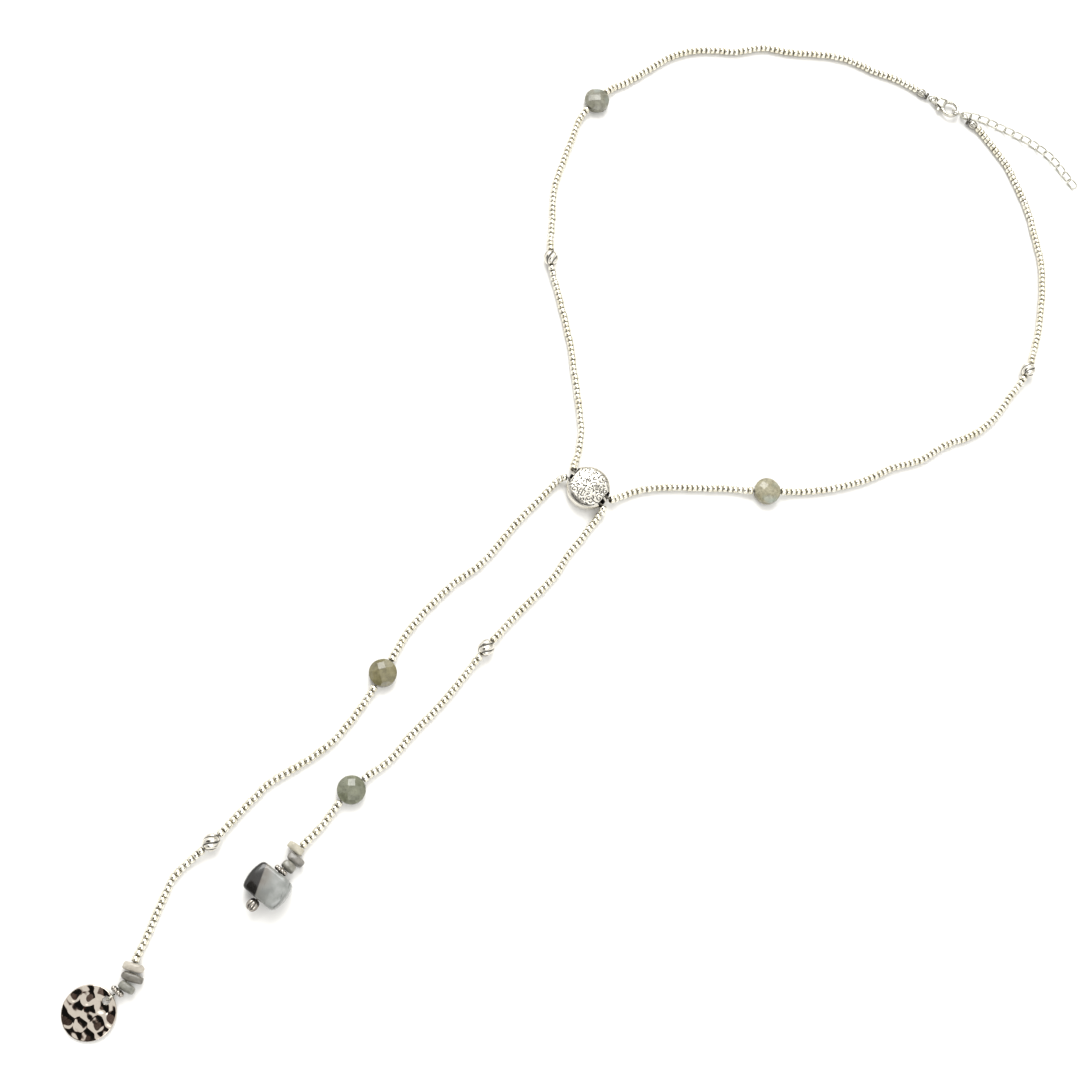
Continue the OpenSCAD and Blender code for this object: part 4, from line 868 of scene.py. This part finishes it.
def struck(x, y, face):
    """Height under the blows: -soft log(sum of e^(-z / soft)) over the flat and the spheres, a rounded lowest. Low
    waves of the sheet are added, and a crown that falls as the square of the distance from the middle."""
    heights = [np.full(x.shape, disc_t / 2)]
    for share, angle, depth in DENTS:
        c = turned((share * disc_d / 2, 0), angle + (0 if face > 0 else 30))
        away = (x - c[0]) ** 2 + (y - c[1]) ** 2
        heights.append(disc_t / 2 + ball_r - dent_depth * depth - np.sqrt(np.clip(ball_r**2 - away, 0.01, None)))
    h = np.stack(heights)
    swell = np.sin(1.1 * x + 0.7 * y + 1.3 * np.sin(0.6 * y)) + 0.7 * np.sin(1.5 * y - 0.5 * x + 2)
    swell += 0.5 * np.sin(2.3 * x + 1.9)
    lowest = h.min(0) - soft * np.log(np.exp(-(h - h.min(0)) / soft).sum(0))
    return lowest + 0.06 * swell - 0.0025 * (x**2 + y**2)


place_pendant = lambda p: p @ turn("Z", -95.5) + pendant_at
rim, thinnest, hole_r, hole_edge = 0.25, 0.32, 1.35, 1.0
flat_r = disc_d / 2 - rim
r = np.concatenate([np.linspace(0, flat_r, 72), flat_r + rim * np.sin(np.radians([25, 50, 72, 90]))])
a = np.linspace(0, 2 * np.pi, 200, endpoint=False)[None, :]
x, y = r[:, None] * np.cos(a), r[:, None] * np.sin(a)
fall = rim * (1 - np.sqrt(np.clip(1 - ((r - flat_r).clip(0) / rim) ** 2, 0, 1)))[:, None]
top, low = (np.stack([x, y, np.maximum(face_h, thinnest) - fall], -1) for face_h in (struck(x, y, 1), struck(x, y, -1)))
points = np.concatenate([top, (low * [1, 1, -1])[::-1]]).reshape(-1, 3)
hangs_at = np.array([wire_d + 0.42, 0, loop_w / 2 + wire_d])
to_disc = lambda p: place_pendant((p + [disc_d / 2, 0, 0]) @ turn("Y", disc_lean) + hangs_at)
disc = make_piece("hammered_pendant", to_disc(points), grid_faces(2 * len(r), 200), GUNMETAL, merge=True)
punch, size = lathe([-3, -3, 3, 3], [0, hole_r, hole_r, 0], 48)
punch = to_disc(punch.reshape(-1, 3) @ turn("Y", 90) - [disc_d / 2 - hole_edge - hole_r, 0, 0])
take_out(disc, make_piece("punch", punch, grid_faces(*size), GUNMETAL, merge=True))
dress(disc, "gunmetal", "hammered_disc")
print("dents:", len(DENTS), "disc lean degrees:", round(disc_lean, 2))

# %% [markdown]
# ## Wire loops, jump ring and chain
#
# Loops and links are soft wire bent round an oval mandrel. The wire is a small circle carried along an oval path.
# The fifteen links of the extender chain lie steep and flat in turn, each through the next.

# %% A section carried along a flat path
def carried(path, width, height, around=16, power=2.0, closed=False):
    """p + width c side + height s up, where side is level and square to the path and (c, s) goes round the
    superellipse |cos|^(2/power), |sin|^(2/power). It gives points and quads."""
    path, n = np.asarray(path, float), len(path)
    ahead = np.roll(path, -1, 0) - np.roll(path, 1, 0) if closed else np.gradient(path, axis=0)
    ahead = unit(ahead)
    side = np.stack([-ahead[:, 1], ahead[:, 0]], -1)[:, None]
    b = np.linspace(0, 2 * np.pi, around, endpoint=False)
    c, s = (np.sign(f) * np.abs(f) ** (2 / power) for f in (np.cos(b), np.sin(b)))
    width, height = (np.broadcast_to(v, n)[:, None] for v in (width, height))
    xy = path[:, None] + side * (width * c)[..., None]
    return np.dstack([xy, height * s]).reshape(-1, 3), grid_faces(n, around, close_rows=closed)


def oval(inner_l, inner_w=loop_w, turns=48, around=12):
    """Centre line x = sign(cos a) straight + bend cos a, y = bend sin a, and round wire along it."""
    bend = (inner_w + wire_d) / 2
    straight = max(0, inner_l + wire_d - 2 * bend) / 2
    a = 2 * np.pi * (np.arange(turns) + 0.5) / turns
    line = np.stack([np.sign(np.cos(a)) * straight + bend * np.cos(a), bend * np.sin(a)], -1)
    return carried(line, wire_d / 2, wire_d / 2, around, closed=True)


points, faces = oval(loop_l)
points = place_pendant(points @ turn("X", 90) + [loop_l / 2 + wire_d, 0, loop_w / 2 + wire_d])
dress(make_piece("pendant_wire_loop", points, faces, WIRE), "wire", "pendant_loop")
print("loop inside mm:", loop_l, "x", loop_w)

# %% Jump ring, end loops and extender chain
hook_at, clasp_turn, eye_reach = np.array([-4.0, 236.0]), 14, 7.4
hook_d, hook_in, eye_d, eye_hole = 7.8, 2.6, 3.6, 1.9
ring_r, ring_wire, ring_roll, ring_way = 2.6, 0.8, -48, 20
ring_z = ring_r * np.sin(np.radians(-ring_roll)) + ring_wire / 2
ring_at = hook_at + turned((hook_in - 1.1 - ring_wire / 2 + ring_r, 0), ring_way)
eye_z = loop_w / 2 + wire_d
clasp_pitch = np.degrees(np.arcsin((ring_z - eye_z) / (eye_reach + hook_d / 2)))
a = np.radians(np.linspace(75, 75 + 357, 72))
fit = np.sqrt(np.clip(1 - (np.abs(np.linspace(-1, 1, 72)) ** 60), 0, 1))
points, faces = carried(ring_r * np.stack([np.cos(a), np.sin(a)], -1), ring_wire / 2 * fit, ring_wire / 2 * fit)
points = points @ turn("X", ring_roll) @ turn("Z", ring_way) + [*ring_at, ring_z]
dress(make_piece("split_jump_ring", points, faces, SILVER, merge=True), "clasp_silver", "jump_ring")


def on_ring(degrees):
    """A point of the ring's wire: the ring's circle, rolled and turned as the ring is."""
    c, s = np.cos(np.radians(degrees)), np.sin(np.radians(degrees))
    xy = ring_at + turned((ring_r * c, ring_r * s * np.cos(np.radians(ring_roll))), ring_way)
    return np.array([*xy, ring_z + ring_r * s * np.sin(np.radians(ring_roll))])


def upright_loop(name, node_name, start, way, offset, height, inner_l):
    """An oval that stands upright along a level direction."""
    angle = np.degrees(np.arctan2(way[1], way[0]))
    points, faces = oval(inner_l)
    middle = start + turned((offset, 0), angle)
    points = points @ turn("X", 90) @ turn("Z", angle) + [*middle, height]
    dress(make_piece(name, points, faces, WIRE), "wire", node_name)


eye_at = hook_at + turned((-eye_reach * np.cos(np.radians(clasp_pitch)), 0), clasp_turn)
left_tip, right_tip, grip = neck["xy"][0], neck["xy"][-1], on_ring(-12)
inner = np.linalg.norm(eye_at - left_tip) - (eye_d + eye_hole) / 4 + loop_w / 2 - wire_d
upright_loop("clasp_wire_loop", "clasp_loop", left_tip, eye_at - left_tip, wire_d + inner / 2, eye_z, inner)
inner = np.linalg.norm(right_tip - grip[:2]) + ring_wire / 2 + 0.15 - wire_d
offset = inner / 2 - ring_wire / 2 - 0.15
upright_loop("ring_wire_loop", "ring_loop", grip[:2], right_tip - grip[:2], offset, grip[2], inner)

CHAIN = [
    on_ring(29)[:2], (7.2, 243.5), (15, 247), (22, 250), (29, 252.5),
    (37, 254), (42, 254), (48, 253), (55, 252), (62, 252),
]
chain = measured([tuple(p) for p in CHAIN])
link_l, link_w, link_rolls, links = 4.0, 2.2, (69, 9), 15
link_z = (link_w + wire_d) / 2 * np.sin(np.radians(max(link_rolls))) + wire_d / 2
link, faces = oval(link_l, link_w, 40, 12)
middle = (np.arange(links) + 0.5) * (link_l - 0.1) - (ring_wire / 2 + 0.2)
along = lambda s: np.stack([np.interp(s, chain["s"], chain["xy"][:, k]) for k in (0, 1)], -1)
way = np.degrees(np.arctan2(*(along(middle + wire_d) - along(middle - wire_d)).T[::-1]))
points = np.concatenate([
    link @ turn("X", link_rolls[n % 2]) @ turn("Z", way[n]) + [*along(middle)[n], link_z]
    for n in range(links)
])
faces = np.concatenate([faces + n * len(link) for n in range(links)])
dress(make_piece("extender_links", points, faces, WIRE), "wire", "extender_chain")
print("chain links:", links, "chain mm:", round(links * (link_l - 0.1), 1))

# %% [markdown]
# ## Lobster clasp
#
# A lobster clasp is cast in two pieces: a hooked body that widens to an eye, and a sprung lever pinned inside it.
# Cast bars are rounded, never square. The hook, the eye and the lever's gate are rounded sections carried along
# arcs, and the housing between them is one section carried from the eye to the hook. A slot is cut for the lever.

# %% Clasp body
hook_z = eye_z + eye_reach * np.sin(np.radians(clasp_pitch))
place_clasp = lambda p: p @ turn("Y", -clasp_pitch) @ turn("Z", clasp_turn) + [*hook_at, hook_z]
hook_r, bar_w, bar_h = 3.25, 1.3, 1.6
boss_r, pin = 1.25, np.array([-3.85, 0.0])


def arc(radius, start, end, n=40, x=0.0):
    """Points of an arc about (x, 0)."""
    a = np.radians(np.linspace(start, end, n))
    return np.stack([x + radius * np.cos(a), radius * np.sin(a)], -1)


def joined(*parts):
    """Several closed shells as one: points stacked, and quads numbered on."""
    shift = np.cumsum([0] + [len(p) for p, _ in parts[:-1]])
    return np.vstack([p for p, _ in parts]), np.vstack([f + k for (_, f), k in zip(parts, shift)])


def round_ends(n, share, first=True):
    """A factor along n rows: sqrt(1 - v^2) within a share of each rounded end, and 1 elsewhere."""
    t = np.linspace(0, 1, n)
    v = np.maximum((share - t) / share if first else 0 * t, (t - 1 + share) / share).clip(0, 1)
    return np.sqrt(1 - v**2)


ease = round_ends(120, 0.009)
hook = carried(arc(hook_r, -205, 98, 120), bar_w / 2 * ease, bar_h / 2 * ease, 20, 2.6)
eye = carried(arc(1.375, 0, 352.5, 48, -eye_reach), 0.425, 0.75, 20, 2.4, closed=True)
x = np.concatenate([np.linspace(-6.5, -6.2, 5)[:-1], np.linspace(-6.2, -2.5, 30)])
# The housing's sides are the straight lines that touch the eye and the hook.
tilt = np.arcsin((hook_d - eye_d) / 2 / eye_reach)
half = eye_d / 2 / np.cos(tilt) + (x + eye_reach) * np.tan(tilt)
start = np.sqrt(np.clip(1 - ((-6.2 - x).clip(0) / 0.3) ** 2, 0, 1))
tall = (bar_h / 2 + (1.3 - bar_h / 2) * np.clip((x + 6.6) / 0.9, 0, 1)) * start
finish = round_ends(len(x), 0.3, first=False)
web = carried(np.stack([x, 0 * x], -1), half * start * (0.7 + 0.3 * finish), tall * (0.25 + 0.75 * finish), 28, 2.5)
t = np.radians(np.linspace(-90, 90, 15))
shoulder, size = lathe(1.25 * np.sin(t), 1.25 * np.cos(t), 24)
shoulder = shoulder.reshape(-1, 3) * [1, 1, 0.8] + [-6.1, 1.5, 0]
points, faces = joined(hook, eye, web, (shoulder, grid_faces(*size)))
body = make_piece("clasp_casting", place_clasp(points), faces, SILVER, merge=True)
print("clasp mm:", round(eye_reach + (eye_d + hook_d) / 2, 1))

# %% Room for the lever, and the lever
a = np.radians(np.linspace(102, 190, 24))
reach, slot_h = boss_r + 0.15, 0.56
# Round the boss, and out past the tab, which swings as the lever opens.
slot = np.vstack([
    reach * np.stack([np.cos(a), np.sin(a)], -1),
    [[-1.75, -0.5], [-5.6, -7.8], [reach + 0.45, -7.8], [reach + 0.15, 0.0], [reach + 0.15, 7.8], [-reach, 7.8]],
])
levels = ((-slot_h, 0), (-slot_h, 1), (slot_h, 1), (slot_h, 0))
slot = np.vstack([np.column_stack([pin + slot * share, np.full(len(slot), z)]) for z, share in levels])
cutter = make_piece("slot", place_clasp(slot), grid_faces(4, len(slot) // 4), SILVER, merge=True)
take_out(body, cutter, own_overlaps=True)
gate_a = np.degrees(np.arctan2(2.4, -2.2))
gate_ends = round_ends(60, 0.03)
gate = carried(arc(hook_r, gate_a, 99.2, 60), bar_w / 2 * gate_ends, bar_h / 2 * gate_ends, 20, 2.6)
neck_bar = carried([[-3.85, 0.0], [-3.3, 0.9], [-2.8, 1.7], [-2.2, 2.4], [-1.9, 2.65]], 0.62, 0.48, 16, 3.0)
boss, size = lathe([-0.5, -0.5, -0.42, 0.42, 0.5, 0.5], [0, 1.17, boss_r, boss_r, 1.17, 0], 40)
boss = boss.reshape(-1, 3) @ turn("Y", 90) + [*pin, 0]
tab_path = np.stack([np.linspace(-3.85, -4.15, 24), np.linspace(0, -4.15, 24)], -1)
tab_w = np.interp(np.linspace(0, 1, 24), [0, 0.5, 0.85, 1], [1.15, 0.9, 0.66, 0.6])
tab = carried(tab_path, tab_w * round_ends(24, 0.1), 0.5 * round_ends(24, 0.1), 16, 3.0)
points, faces = joined(gate, neck_bar, (boss, grid_faces(*size)), tab)
lever = make_piece("clasp_gate_lever", place_clasp(points), faces, SILVER, merge=True)
dress(lever, "clasp_silver", "clasp_lever", body="clasp_lever")
dress(body, "clasp_silver", "clasp_body")
print("lever faces:", len(lever.data.polygons), "casting faces:", len(body.data.polygons))

# %% [markdown]
# ## Threads
#
# The waxed thread shows only in the narrow gaps between pieces and at the crimps, so the CAD threads are right as
# they are, and take a dull, dark, waxy finish.

# %% Threads keep their CAD shape
for name in ("neck_thread", "drop_thread"):
    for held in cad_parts[name].material_slots:
        held.material = THREAD
print("threads:", THREAD.name)

# %% [markdown]
# ## Surface and light
#
# The necklace lies on white paper under a large soft light, with white all round, so the shadows almost vanish. Silver
# shows what is round it. A dark patch low on one side, as a doorway gives, puts a dark spot on each bead. A second
# one, higher and with a reddish-brown edge, fills the hollows of the hammered disc. A bright panel to one side
# gives the long highlights. The plain display transform keeps the paper pure white.

# %% Paper, soft light and surroundings
bpy.context.scene.view_settings.view_transform = "Standard"
paper, tree, shader, place = material("white_paper", Roughness=0.9)
shader.inputs["Base Color"].default_value = linear("#ecebe9")
fibre = node(tree, "TexNoise", {"Vector": place, "Scale": 900.0, "Detail": 2.0}).outputs["Fac"]
bump = node(tree, "Bump", {"Height": fibre, "Strength": 0.05, "Distance": 0.0001}).outputs["Normal"]
tree.links.new(bump, shader.inputs["Normal"])
corner = np.array([[-3, -3, 0], [3, -3, 0], [3, 3, 0], [-3, 3, 0]], float)
mesh = bpy.data.meshes.new("paper_surface")
mesh.from_pydata(corner.tolist(), [], [(0, 1, 2, 3)])
shown("paper_surface", mesh, paper)

world = bpy.data.worlds.new("white_studio")
bpy.context.scene.world = world
world.use_nodes = True
tree = world.node_tree
way = node(tree, "TexCoord").outputs["Generated"]


def facing(direction, start, full):
    """How far a direction of the surroundings lies towards another: 0 below the cosine start, 1 above full."""
    there = tuple(unit(np.array(direction)))
    cosine = node(tree, "VectorMath", {0: way, 1: there}, operation="DOT_PRODUCT").outputs["Value"]
    ends = {"Value": cosine, "From Min": start, "From Max": full}
    return node(tree, "MapRange", ends, interpolation_type="SMOOTHSTEP").outputs[0]


LOW, HIGH = (0.50, -0.56, 0.66), (-0.10, -0.58, 0.81)
SURROUNDINGS = [
    ((0, 0, 1), 0.25, 0.6, (1.35, 1.35, 1.33, 1)),  # ceiling
    ((-0.5, 0.84, 0.25), 0.6, 0.85, (0.56, 0.54, 0.47, 1)),  # dimmer wall behind
    ((-0.55, 0.45, 0.70), 0.86, 0.92, (2.6, 2.6, 2.55, 1)),  # bright panel
    (LOW, 0.925, 0.96, (0.012, 0.012, 0.012, 1)),  # low dark patch
    (HIGH, 0.905, 0.93, (0.17, 0.08, 0.055, 1)),  # brown edge of the higher one
    (HIGH, 0.92, 0.945, (0.012, 0.012, 0.012, 1)),  # higher dark patch
]
shade = (0.85, 0.85, 0.83, 1)
for direction, begin, full, colour in SURROUNDINGS:
    sockets = {0: facing(direction, begin, full), 6: shade, 7: colour}
    shade = node(tree, "Mix", sockets, data_type="RGBA").outputs[2]
tree.links.new(shade, tree.nodes["Background"].inputs["Color"])

for name, spot, size, power in (("soft_key", (-0.7, 0.6, 1.1), 0.9, 14.0), ("soft_fill", (0.9, -0.5, 1.0), 0.8, 6.0)):
    lamp = bpy.data.lights.new(name, "AREA")
    lamp.size, lamp.energy = size, power
    light = bpy.data.objects.new(name, lamp)
    z = unit(np.array(spot))
    x = unit(np.cross([0, 0, 1], z))
    axes = np.stack([x, np.cross(z, x), z], 1)
    light.matrix_world = Matrix.Translation(spot) @ Matrix(axes.tolist()).to_4x4()
    bpy.context.scene.collection.objects.link(light)
print("lights: 2, surroundings:", world.name)
